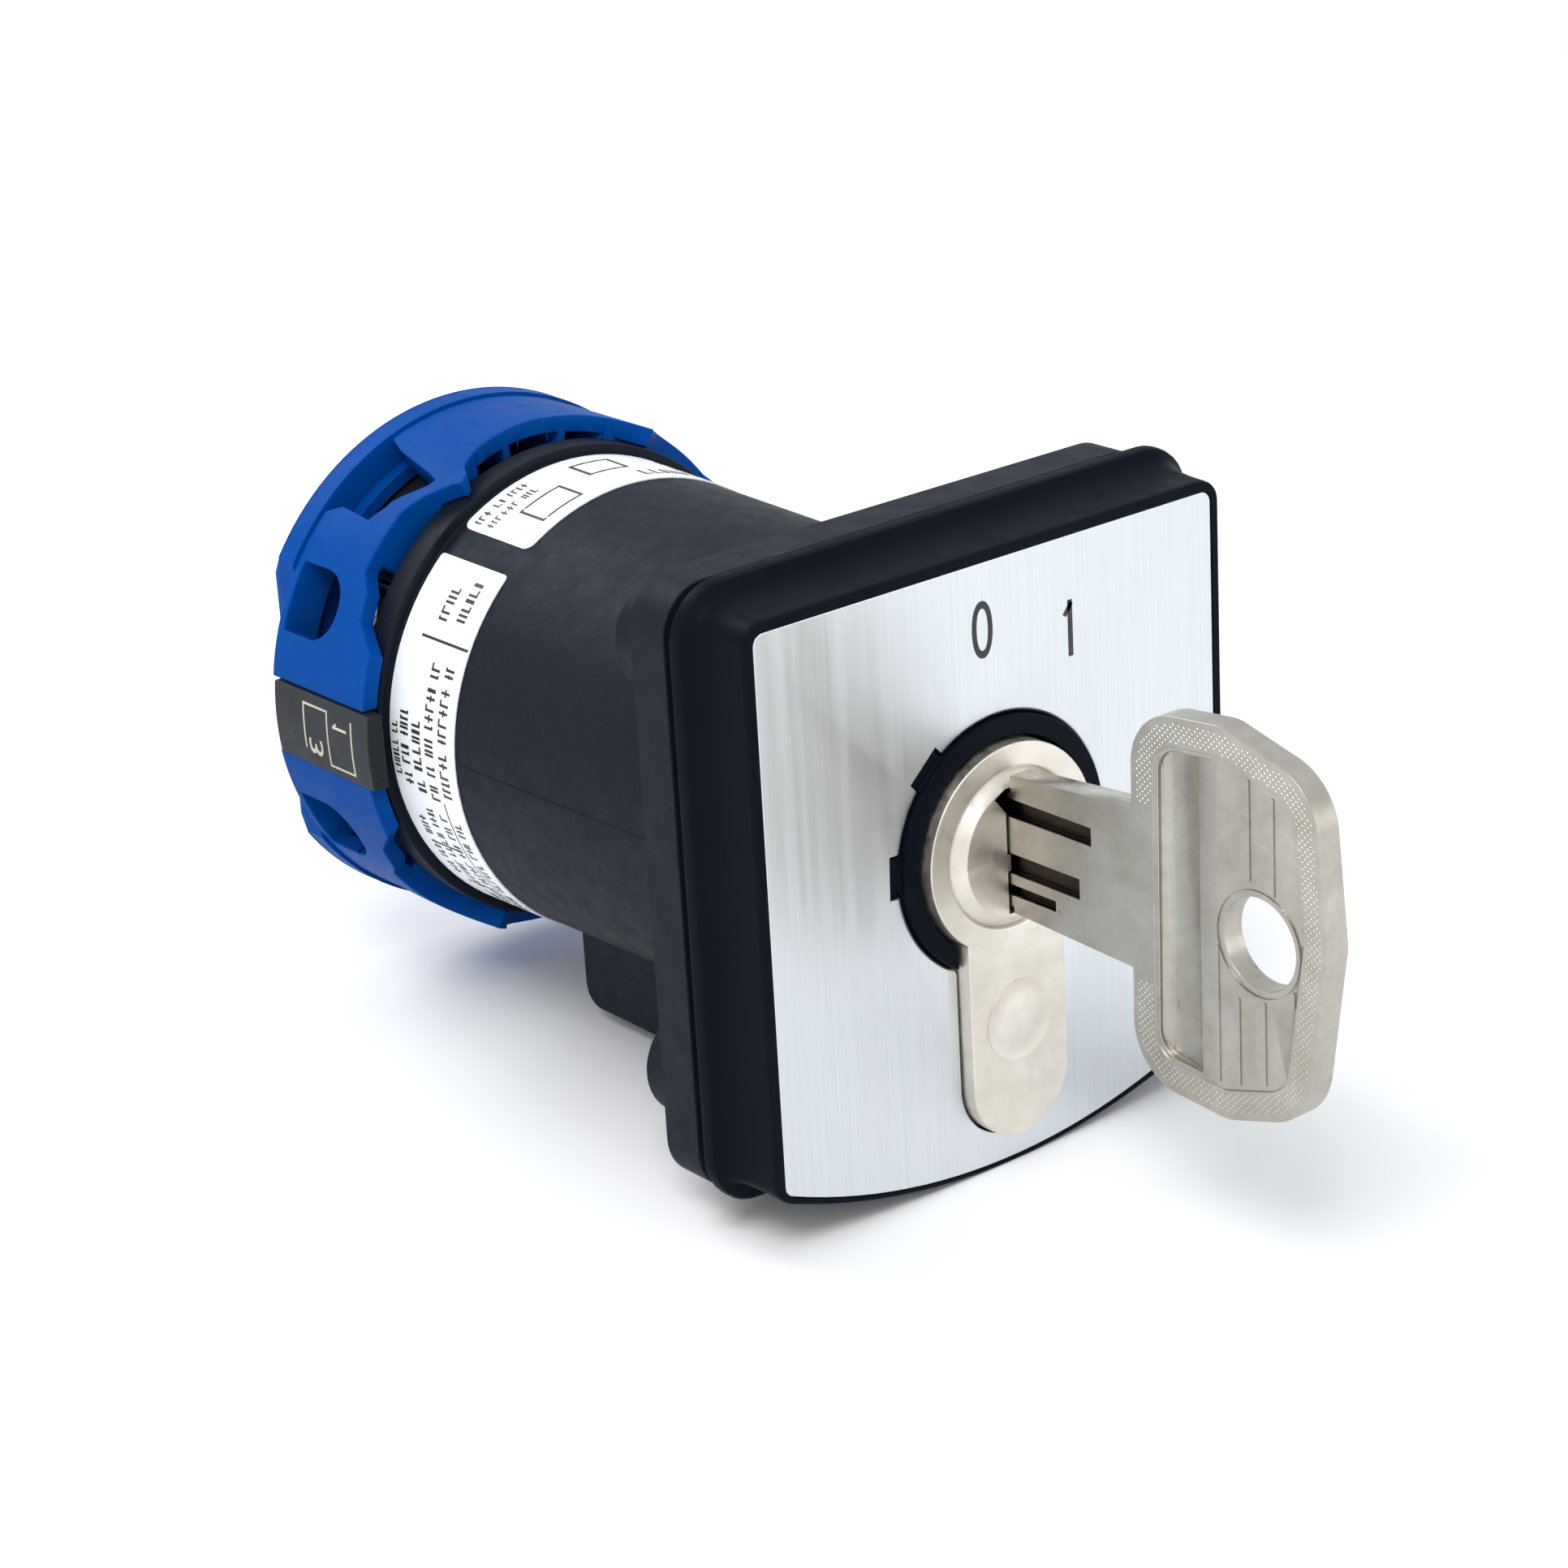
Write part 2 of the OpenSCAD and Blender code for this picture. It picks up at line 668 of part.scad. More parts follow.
module latch_slides() {
    roller_z = star_r + star_gap + roller_r;
    color([0.85, 0.83, 0.76]) for (s = [-1, 1]) scale([1, 1, s]) difference() {
        block([-slide_half, latch_y + latch_wall + 0.2, roller_z - 0.6],
            [slide_half, latch_end - 0.4, roller_z + 3]);
        translate([0, 0, roller_z]) rod(roller_r + 0.1, latch_y, latch_end + 1);
        translate([0, (latch_y + latch_wall + latch_end) / 2, roller_z + 2.2])
            cylinder(r = 2.2, h = 2);
    }
}

module latch_rollers() {
    roller_z = star_r + star_gap + roller_r;
    color("silver") for (s = [-1, 1]) translate([0, 0, s * roller_z])
        rod(roller_r, latch_y + latch_wall + 0.4, latch_end - 0.6);
}

module latch_springs() {
    spring_z = star_r + star_gap + roller_r + 2.25;
    color("gainsboro") for (s = [-1, 1])
        translate([0, (latch_y + latch_wall + latch_end) / 2, s * spring_z])
            rotate([s > 0 ? 0 : 180, 0, 0])
                coil(1.6, 0.3, 3, latch_r - 1.3 - spring_z);
}

// ---- Contact stage ----

module contact_stage() {
    color([0.13, 0.14, 0.15]) difference() {
        union() {
            rod(tube_bore_r - 0.1, stage_y, tube_end + 0.2);
            rod(stage_r, tube_end + 0.2, stage_end);
        }
        rod(journal_r + 0.4, stage_y - 1, stage_end);
        rod(cam_r_open + spiral_rate * cam_lead + 0.6, contact_y0 - 1.6, stage_end + 1);
        for (s = [-1, 1]) scale([1, 1, s]) {
            block([-plunger_half - 0.15, contact_y0 - 1.6, 0],
                [plunger_half + 0.15, stage_end + 1, spring_top]);
            block([-bridge_half - 0.5, contact_y0 - 0.5, fixed_z - 0.1],
                [bridge_half + 0.5, stage_end + 1, bridge_z + bridge_t + 1]);
        }
        for (a = terminal_angles) clock(a) {
            block([9, contact_y0 - 0.5, -3.7], [stage_r + 2, stage_end + 1, 3.7]);
            rod(0.1, 0, 0.2);
        }
        for (x = [-1, 1]) translate([x * bolt_x, 0, 0]) rod(bolt_bore_r, stage_y - 1, stage_end + 1);
    }
}

// The cam's radius falls by the contact travel over the switching angle, twice a turn
function cam_radius(a) =
    let (u = (a + cam_lead) % 180, fall = 2 * cam_lead + switch_angle)
    u < fall
        ? cam_r_open + spiral_rate * (cam_lead - u)
        : cam_r_open + spiral_rate * (cam_lead - fall)
            + spiral_rate * fall * (u - fall) / (180 - fall);

module cam_disc() {
    color([0.9, 0.88, 0.8]) difference() {
        prism(contact_y0 - 0.6, contact_y1 + 0.6)
            polygon([for (a = [0 : 3 : 357]) cam_radius(a) * [sin(-a), cos(-a)]]);
        prism(contact_y0 - 2, contact_y1 + 2) square(shaft_w + 0.1, center = true);
    }
}

module plunger_shape() {
    difference() {
        union() {
            block([-plunger_half, contact_y0 - 0.4, follower_z + 0.4],
                [plunger_half, contact_y1 + 0.4, bridge_z]);
            block([-0.6, contact_y0 - 0.4, follower_z], [0.6, contact_y1 + 0.4, follower_z + 1]);
            translate([0, 0, follower_z]) rod(nose_pin_r, contact_y0 - 0.4, contact_y1 + 0.4);
            translate([0, (contact_y0 + contact_y1) / 2, bridge_z - eps])
                cylinder(r = 1.3, h = bridge_t + 1);
        }
    }
}

module bridge_shape() {
    difference() {
        block([-bridge_half, contact_y0, bridge_z], [bridge_half, contact_y1, bridge_z + bridge_t]);
        translate([0, (contact_y0 + contact_y1) / 2, bridge_z - 1]) cylinder(r = 1.35, h = 4);
    }
}

module tips_shape() {
    for (x = [-1, 1]) translate([x * tip_x, (contact_y0 + contact_y1) / 2, bridge_z - tip_h])
        cylinder(r = tip_d / 2, h = tip_h);
}

module spring_shape() {
    start = bridge_z + bridge_t + 0.05;
    translate([0, (contact_y0 + contact_y1) / 2, start])
        coil(spring_coil_r, spring_wire_r, 3, spring_top - start - 0.05);
}

module upper_plunger() {
    color([0.85, 0.83, 0.76]) plunger_shape();
}

module upper_bridge() {
    color([0.8, 0.5, 0.3]) bridge_shape();
}

module upper_tips() {
    color([0.9, 0.9, 0.9]) tips_shape();
}

module upper_spring() {
    color("gainsboro") spring_shape();
}

module lower_plunger() {
    color([0.85, 0.83, 0.76]) rotate([0, 180, 0]) plunger_shape();
}

module lower_bridge() {
    color([0.8, 0.5, 0.3]) rotate([0, 180, 0]) bridge_shape();
}

module lower_tips() {
    color([0.9, 0.9, 0.9]) rotate([0, 180, 0]) tips_shape();
}

module lower_spring() {
    color("gainsboro") rotate([0, 180, 0]) spring_shape();
}

module fixed_contacts() {
    color([0.8, 0.5, 0.3]) for (x = [-1, 1], z = [-1, 1]) scale([x, 1, z]) difference() {
        union() {
            block([tip_x - tip_d / 2, contact_y0, fixed_z], [13, contact_y1, fixed_z + 1]);
            clock(90 - window_angle) block([clamp_r0 - 1, contact_y0, -3.5],
                [clamp_r0, stage_end - 0.4, 3.5]);
        }
        clock(90 - window_angle) translate([0, terminal_y, 0]) rotate([0, 90, 0])
            cylinder(r = screw_r + 0.1, h = 30);
    }
}

module fixed_tips() {
    color([0.9, 0.9, 0.9]) for (x = [-1, 1], z = [-1, 1])
        translate([x * tip_x, (contact_y0 + contact_y1) / 2, z > 0 ? fixed_z + 1 : -fixed_z - 1 - tip_h])
            cylinder(r = tip_d / 2, h = tip_h);
}

module clamp_plates() {
    color([0.75, 0.75, 0.72]) for (a = terminal_angles) clock(a) difference() {
        block([clamp_r0 + 0.4, contact_y0 + 0.2, -3.2], [clamp_r0 + 1.5, stage_end - 0.6, 3.2]);
        translate([0, terminal_y, 0]) rotate([0, 90, 0]) cylinder(r = screw_r + 0.1, h = 30);
    }
}

module terminal_screws() {
    color([0.78, 0.78, 0.76]) for (a = terminal_angles) clock(a)
        translate([0, terminal_y, 0]) rotate([0, 90, 0]) difference() {
            union() {
                translate([0, 0, 12.4]) cylinder(r = screw_r, h = 4.4);
                translate([0, 0, clamp_r0 + 1.55]) cylinder(r = screw_head_r, h = 1.8);
            }
            translate([-0.4, -4, clamp_r0 + 2.6]) cube([0.8, 8, 2]);
            translate([-4, -0.4, clamp_r0 + 2.6]) cube([8, 0.8, 2]);
        }
}

// ---- Rear stage ----

// A wedge-shaped cut between two clock angles, two depths and out to a radius
module wedge_cut(a0, a1, y0, y1, r) {
    reach = 2 * r;
    intersection() {
        prism(y0, y1) polygon([[0, 0], reach * [sin(a0), cos(a0)],
            reach * [sin((a0 + a1) / 2), cos((a0 + a1) / 2)], reach * [sin(a1), cos(a1)]]);
        rod(r, y0 - 1, y1 + 1);
    }
}

// A cut straight through the cover's wall: its outline is a list of [clock angle, depth]
module wall_cut(mid, outline, r0) {
    clock(mid) translate([r0, 0, 0]) rotate([90, 0, 90]) linear_extrude(height = cover_r + 3 - r0)
        polygon([for (p = outline) [p[1], -cover_r * sin(p[0] - mid)]]);
}

// Front and rear edges of the curved arm that joins a hood's corner to a window block
function arm_front(a) =
    corner_y + (block_y - corner_y) * sin(90 * min(1, (a - corner_angle) / 13));
function arm_rear(a) = let (t = (a - corner_angle - 1) / 10)
    corner_y + 2.8 + (block_y - corner_y - 0.4) * t * t * (3 - 2 * t);

// Hoods at the top and bottom, window blocks at the sides, a pocket between each pair
module terminal_cover() {
    wall_a = 4;
    rib_a = 1;
    rib_mid = 8;
    web_y = rear_plate_y - 1.4;
    web_r = stage_r + 1.6;
    far = cover_r + 3;
    steps = 6;
    front = hood_y - 9;
    hood_edge = [[-3, front], [-3, hood_y + 0.6], [3, hood_y + 0.6], [hood_angle - 12, hood_y],
        [hood_angle - 8, hood_y - 0.5], [hood_angle - 4, hood_y - 1.4], [hood_angle - 2, corner_y],
        [corner_angle + 1.5, corner_y - 0.7], [corner_angle + 1.5, front]];
    arm_edge = concat([[corner_angle - 3, front], [corner_angle - 3, corner_y - 1],
            [corner_angle, corner_y - 0.3]],
        [for (i = [0 : steps]) let (a = corner_angle + 0.8 + i * 12 / steps) [a, arm_front(a)]],
        [[block_start + 4, block_y], [block_start + 4, front]]);
    block_edge = [[block_start, front], [block_start, block_y], [block_start + 7, block_y],
        [block_start + 11, block_y - 1.5], [block_start + 17, block_y - 1.9],
        [block_start + 20, block_y - 3.2], [block_start + 23, side_y], [90, side_y], [90, front]];
    pocket = concat([for (i = [0 : steps]) let (a = corner_angle + 1 + i * 10 / steps) [a, arm_rear(a)]],
        [[block_start - 4, block_y + 3.4], [block_start - 5, rear_plate_y - 2],
            [block_start - 1, rear_plate_y + 1], [hood_angle - 6, rear_plate_y + 1],
            [hood_angle - 2.5, rear_plate_y - 2.5], [corner_angle - 0.5, corner_y + 5]]);
    color([0.06, 0.3, 0.66]) difference() {
        rod(cover_r, corner_y - 2, rear_plate_y - 0.05);
        rod(stage_r + 0.3, corner_y - 3, rear_plate_y + 1);
        rod(tube_r_rear + rim_out + 0.1, corner_y - 3, tube_end + 0.1);
        for (turn = [0, 180], side = [0, 1]) rotate([0, turn, 0]) mirror([side, 0, 0]) {
            wall_cut(12, hood_edge, 12);
            wall_cut(38, arm_edge, 12);
            wall_cut(62, block_edge, 10);
            difference() {
                wall_cut(34, pocket, 14);
                rod(web_r, web_y, rear_plate_y + 2);
            }
            wedge_cut(block_start + wall_a, 88, corner_y - 3, web_y, cover_in);
            wedge_cut(rib_mid + rib_a, hood_angle - 2 * wall_a, corner_y - 3, web_y, cover_in);
        }
        for (turn = [0, 180]) rotate([0, turn, 0]) {
            wedge_cut(rib_a - rib_mid, rib_mid - rib_a, corner_y - 3, web_y, cover_in);
            block([0, corner_y - 3, -strip_half - 0.1], [far, web_y, strip_half + 0.1]);
            block([cover_in - 0.2, web_y - 1, -strip_half - 0.1],
                [far, rear_plate_y + 1, strip_half + 0.1]);
        }
        for (a = terminal_angles) clock(a) translate([0, window_y, 0]) {
            block([stage_r - 2, -window_l / 2 + window_half, -window_half],
                [far, window_l / 2, window_half]);
            translate([stage_r - 2, -window_l / 2 + window_half, 0]) rotate([0, 90, 0])
                cylinder(r = window_half - 0.01, h = 7);
        }
    }
}

module rear_plate() {
    plate_end = rear_plate_y + rear_plate_t;
    color([0.06, 0.3, 0.66]) difference() {
        union() {
            rod(cover_r + 0.3, rear_plate_y, plate_end - 0.8);
            cone(cover_r + 0.3, cover_r - 0.5, plate_end - 0.8 - eps, plate_end);
        }
        rod(shaft_w / 2 - 0.2 + journal_clear, rear_plate_y - 1, plate_end + 1);
        rod(8, plate_end - 0.9, plate_end + 1);
        for (x = [-1, 1]) {
            translate([x * bolt_x, 0, 0]) rod(bolt_bore_r, rear_plate_y - 1, plate_end + 1);
            translate([x * bolt_x, 0, 0]) rod(3.5, plate_end - 1.7, plate_end + 1);
            scale([x, 1, 1]) block([rear_plate_half, rear_plate_y - 1, -cover_r],
                [cover_r + 2, plate_end + 1, cover_r]);
        }
    }
}

module through_bolts() {
    head_y = rear_plate_y + rear_plate_t - 1.65;
    color([0.78, 0.78, 0.76]) for (x = [-1, 1]) translate([x * bolt_x, 0, 0]) difference() {
        union() {
            rod(bolt_r, nut_y + 0.2, head_y + eps);
            rod(3.2, head_y, head_y + 1.5);
        }
        block([-0.45, head_y + 0.8, -2.4], [0.45, head_y + 2, 2.4]);
        block([-2.4, head_y + 0.8, -0.45], [2.4, head_y + 2, 0.45]);
    }
}

module bolt_nuts() {
    color([0.7, 0.7, 0.7]) for (x = [-1, 1]) translate([x * bolt_x, 0, 0]) difference() {
        rotate([0, 30, 0]) rod(3.15, nut_y + 0.1, nut_y + nut_h - 0.05, $fn = 6);
        rod(bolt_r + 0.02, nut_y - 1, nut_y + nut_h + 1);
    }
}

module strip_shape() {
    block([cover_in + 0.1, strip_front, -strip_half], [cover_in + 0.9, strip_end, strip_half]);
    intersection() {
        arc_wall(cover_in, cover_r + strip_out, strip_front, strip_end, 70, 110);
        block([cover_in + 0.2, strip_front, -strip_half], [cover_r + 1, strip_end, strip_half]);
    }
}

module left_marking_strip() {
    color([0.1, 0.1, 0.11]) scale([-1, 1, 1]) strip_shape();
}

module right_marking_strip() {
    color([0.1, 0.1, 0.11]) strip_shape();
}

// ---- Labels on the tube ----

module label_shell(a0, a1) {
    slope = (tube_r_rear - tube_r_front) / (rim_start - mount_t);
    r0 = tube_r_front + slope * (label_y0 - mount_t) + label_gap;
    r1 = tube_r_front + slope * (label_y1 - mount_t) + label_gap;
    rotate([-90, 0, 0]) rotate_extrude(start = a0 - 90, angle = a1 - a0)
        polygon([[r0, label_y0], [r0 + label_t, label_y0], [r1 + label_t, label_y1], [r1, label_y1]]);
}

module side_label() {
    color("white") label_shell(-150, -41);
}

module top_label() {
    color("white") label_shell(-33, 62);
}

face_plate();
front_frame();
frame_screws();
panel_gasket();
lock_collar();
lock_housing();
cylinder_body();
cylinder_screw();
driver_pins();
pin_springs();
chamber_plugs();
lock_plug();
key_pins();
lock_cam();
plug_clip();
key();
coupling_driver();
switch_shaft();
star_wheel();
latch_housing();
latch_slides();
latch_rollers();
latch_springs();
contact_stage();
cam_disc();
upper_plunger();
upper_bridge();
upper_tips();
upper_spring();
lower_plunger();
lower_bridge();
lower_tips();
lower_spring();
fixed_contacts();
fixed_tips();
clamp_plates();
terminal_screws();
terminal_cover();
rear_plate();
through_bolts();
bolt_nuts();
left_marking_strip();
right_marking_strip();
side_label();
top_label();
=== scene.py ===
# %% [markdown]
# # A key-operated selector switch
# The CAD gives every piece its place and size in metres. This lesson loads it, rounds the
# moulded and turned edges, remodels the pieces that need finer shapes, and gives each
# piece a finish made from noise.

# %% Load the frame
import json
import math
import random

import bmesh
import bpy
from mathutils import Matrix, Vector


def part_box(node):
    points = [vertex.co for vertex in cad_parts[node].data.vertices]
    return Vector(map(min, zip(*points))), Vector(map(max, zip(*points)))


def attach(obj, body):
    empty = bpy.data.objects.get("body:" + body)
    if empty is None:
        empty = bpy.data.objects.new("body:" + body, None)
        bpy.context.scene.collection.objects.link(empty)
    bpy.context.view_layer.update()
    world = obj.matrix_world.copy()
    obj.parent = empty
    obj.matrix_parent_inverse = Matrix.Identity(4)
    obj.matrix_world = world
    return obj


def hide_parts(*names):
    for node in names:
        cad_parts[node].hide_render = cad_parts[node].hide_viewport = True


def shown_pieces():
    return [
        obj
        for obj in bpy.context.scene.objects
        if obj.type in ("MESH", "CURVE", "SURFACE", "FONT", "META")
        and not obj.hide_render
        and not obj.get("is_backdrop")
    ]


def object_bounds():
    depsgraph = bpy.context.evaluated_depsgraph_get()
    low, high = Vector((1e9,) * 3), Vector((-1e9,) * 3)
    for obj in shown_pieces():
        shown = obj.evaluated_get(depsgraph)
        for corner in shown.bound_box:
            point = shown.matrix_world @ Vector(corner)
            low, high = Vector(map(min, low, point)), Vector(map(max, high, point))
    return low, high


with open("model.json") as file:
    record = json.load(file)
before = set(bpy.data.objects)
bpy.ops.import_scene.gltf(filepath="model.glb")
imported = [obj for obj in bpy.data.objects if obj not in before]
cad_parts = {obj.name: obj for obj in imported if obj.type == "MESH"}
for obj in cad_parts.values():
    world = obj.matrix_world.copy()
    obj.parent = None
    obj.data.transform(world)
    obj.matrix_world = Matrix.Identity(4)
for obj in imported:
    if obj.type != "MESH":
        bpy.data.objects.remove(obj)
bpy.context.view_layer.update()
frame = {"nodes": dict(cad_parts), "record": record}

MM = 0.001
scene = bpy.context.scene
record = frame["record"]
body_of_node = {n: b for b, nodes in record["behaviour"]["bodies"].items() for n in nodes}
slot_of_node = {p["node"]: p["material_slot"] for p in record["subparts"]}

# %% [markdown]
# ## The camera first
# The switch is seen from the front left and a little above, through a long lens. The
# camera is placed by its position and the two directions it looks and holds as up.

# %% Camera
CAMERA_AT = Vector((-187.9, -219.6, 115.5)) * MM
LOOKS_ALONG = Vector((0.5778, 0.7316, -0.3620)).normalized()
CAMERA_UP = Vector((0.2701, 0.2472, 0.9307)).normalized()
CAMERA_LENS = 90.2


def make_camera():
    """A camera whose axes are built from the direction it looks along and its up."""
    data = bpy.data.cameras.new("camera")
    data.lens = CAMERA_LENS
    data.sensor_width = 36
    data.clip_start = 0.01
    right = LOOKS_ALONG.cross(CAMERA_UP).normalized()
    up = right.cross(LOOKS_ALONG)
    turn = Matrix((right, up, -LOOKS_ALONG)).transposed().to_4x4()
    camera = bpy.data.objects.new("camera", data)
    camera.matrix_world = Matrix.Translation(CAMERA_AT) @ turn
    scene.collection.objects.link(camera)
    return camera


scene.camera = make_camera()
print("camera lens", CAMERA_LENS, "mm")

# %% [markdown]
# ## A workbench of small helpers
# Each new piece is a bmesh that is written to an object at the origin, so its place is in
# its mesh. `finish_piece` gives it its material, makes it move with the body of the CAD node
# that it stands for, and hides that node unless told not to.


# %% Objects from meshes
def new_object(name, bm):
    """Writes a bmesh to a new object at the origin."""
    mesh = bpy.data.meshes.new(name)
    bm.to_mesh(mesh)
    bm.free()
    piece = bpy.data.objects.new(name, mesh)
    scene.collection.objects.link(piece)
    return piece


def smooth_by_angle(piece, degrees=32):
    """Smooth shading that stays sharp at the real edges."""
    piece.data.shade_smooth()
    piece.data.set_sharp_from_angle(angle=math.radians(degrees))


def finish_piece(piece, node, material, hides=True):
    """Ties a piece to the CAD node that it stands for or belongs to."""
    piece.data.materials.clear()
    piece.data.materials.append(material)
    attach(piece, body_of_node[node])
    if hides:
        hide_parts(node)


# %% A merged copy of a CAD node
def cad_copy(node, name):
    """A CAD node's shape as one connected mesh, with flat areas joined up."""
    bm = bmesh.new()
    bm.from_mesh(frame["nodes"][node].data)
    bmesh.ops.remove_doubles(bm, verts=bm.verts, dist=0.001 * MM)
    bmesh.ops.dissolve_limit(bm, angle_limit=math.radians(0.5), verts=bm.verts, edges=bm.edges)
    return new_object(name, bm)


def round_edges(piece, width, segments=2, angle=34):
    """A small radius on every sharp edge, as a mould or a tumbler leaves it."""
    bevel = piece.modifiers.new("rounded edges", "BEVEL")
    bevel.width = width * MM
    bevel.segments = segments
    bevel.limit_method = "ANGLE"
    bevel.angle_limit = math.radians(angle)
    bevel.use_clamp_overlap = False
    bevel.harden_normals = True


def settle(piece):
    """Turns the modifiers into mesh."""
    graph = bpy.context.evaluated_depsgraph_get()
    mesh = bpy.data.meshes.new_from_object(piece.evaluated_get(graph))
    piece.modifiers.clear()
    piece.data = mesh


def carve(piece, cutter, way="DIFFERENCE"):
    """Cuts one piece with another, and throws the cutter away."""
    cut = piece.modifiers.new("cut", "BOOLEAN")
    cut.operation = way
    cut.solver = "EXACT"
    cut.object = cutter
    settle(piece)
    bpy.data.objects.remove(cutter)


# %% [markdown]
# ## Drawing an outline
# A moulded frame or a label starts as a flat outline. The pen moves a vertex along lines
# by extruding it, and round arcs by spinning it, so each corner has its true radius.


# %% The pen
class Pen:
    """Draws a closed outline in the front view: x to the right, z up, at one depth y."""

    def __init__(self, x, y, z):
        self.bm = bmesh.new()
        self.tip = self.bm.verts.new(Vector((x, y, z)) * MM)

    def line(self, x, z):
        made = bmesh.ops.extrude_vert_indiv(self.bm, verts=[self.tip])
        self.tip = made["verts"][0]
        self.tip.co.x = x * MM
        self.tip.co.z = z * MM

    def arc(self, x, z, degrees, steps):
        made = bmesh.ops.spin(
            self.bm, geom=[self.tip], cent=Vector((x * MM, self.tip.co.y, z * MM)),
            axis=(0, 1, 0), angle=math.radians(degrees), steps=steps, use_duplicate=False)
        self.tip = [g for g in made["geom_last"] if isinstance(g, bmesh.types.BMVert)][0]

    def close(self):
        """Joins the ends and fills the outline with one face that looks forwards."""
        bm = self.bm
        bmesh.ops.remove_doubles(bm, verts=bm.verts, dist=0.002 * MM)
        bmesh.ops.contextual_create(bm, geom=bm.edges[:])
        face = bm.faces[:][0]
        if face.normal.y > 0:
            bmesh.ops.reverse_faces(bm, faces=[face])
        return bm


def bulged_outline(half, top, low, sag, corner_r, depth):
    """Straight top and sides, round corners and a lower edge on one arc, in mm."""
    arc_r = (half * half + sag * sag) / (2 * sag)
    mid_z = arc_r - low - sag
    inner = half - corner_r
    corner_z = mid_z - math.sqrt((arc_r - corner_r) ** 2 - inner ** 2)
    lean = math.degrees(math.asin(inner / (arc_r - corner_r)))
    pen = Pen(-half, depth, top - corner_r)
    pen.arc(-inner, top - corner_r, 90, 8)
    pen.line(inner, top)
    pen.arc(inner, top - corner_r, 90, 8)
    pen.line(half, corner_z)
    pen.arc(inner, corner_z, 90 - lean, 8)
    pen.arc(0, mid_z, 2 * lean, 48)
    pen.arc(-inner, corner_z, 90 - lean, 8)
    return pen.close()


def push_forward(bm, distance):
    """Extrudes the one front face towards the viewer and returns the new front face."""
    front = min(bm.faces, key=lambda f: f.calc_center_median().y)
    made = bmesh.ops.extrude_face_region(bm, geom=[front])
    verts = [g for g in made["geom"] if isinstance(g, bmesh.types.BMVert)]
    bmesh.ops.translate(bm, verts=verts, vec=(0, -distance * MM, 0))
    faces = [g for g in made["geom"] if isinstance(g, bmesh.types.BMFace)]
    return faces[0]


def slab(bm, thickness):
    """Gives a flat forward-looking outline a body that reaches back."""
    face = bm.faces[:][0]
    made = bmesh.ops.extrude_face_region(bm, geom=[face], use_keep_orig=True)
    verts = [g for g in made["geom"] if isinstance(g, bmesh.types.BMVert)]
    bmesh.ops.translate(bm, verts=verts, vec=(0, thickness * MM, 0))
    bmesh.ops.recalc_face_normals(bm, faces=bm.faces)
    return bm


def box(low, high):
    """A cube stretched between two corners, in mm."""
    bm = bmesh.new()
    bmesh.ops.create_cube(bm, size=1)
    low, high = Vector(low) * MM, Vector(high) * MM
    bmesh.ops.scale(bm, verts=bm.verts, vec=high - low)
    bmesh.ops.translate(bm, verts=bm.verts, vec=(high + low) / 2)
    return bm


def rod(radius, y0, y1, x=0, z=0, segments=64):
    """A round bar along the switch's axis, in mm."""
    bm = bmesh.new()
    bmesh.ops.create_cone(bm, cap_ends=True, segments=segments, radius1=radius * MM,
                          radius2=radius * MM, depth=(y1 - y0) * MM)
    bmesh.ops.rotate(bm, verts=bm.verts, matrix=Matrix.Rotation(math.radians(90), 3, "X"))
    bmesh.ops.translate(bm, verts=bm.verts, vec=Vector((x, (y0 + y1) / 2, z)) * MM)
    return bm


def add_to(bm, other):
    """Adds one bmesh's shapes to another."""
    mesh = bpy.data.meshes.new("part")
    other.to_mesh(mesh)
    other.free()
    bm.from_mesh(mesh)
    bpy.data.meshes.remove(mesh)


# %% [markdown]
# ## Finishes from noise
# A moulded or turned surface is never one flat colour. Each recipe starts from object
# coordinates in metres, so a noise scale of 1000 has features of about a millimetre. One
# noise varies the colour, one the roughness, and a fine one makes the bump.


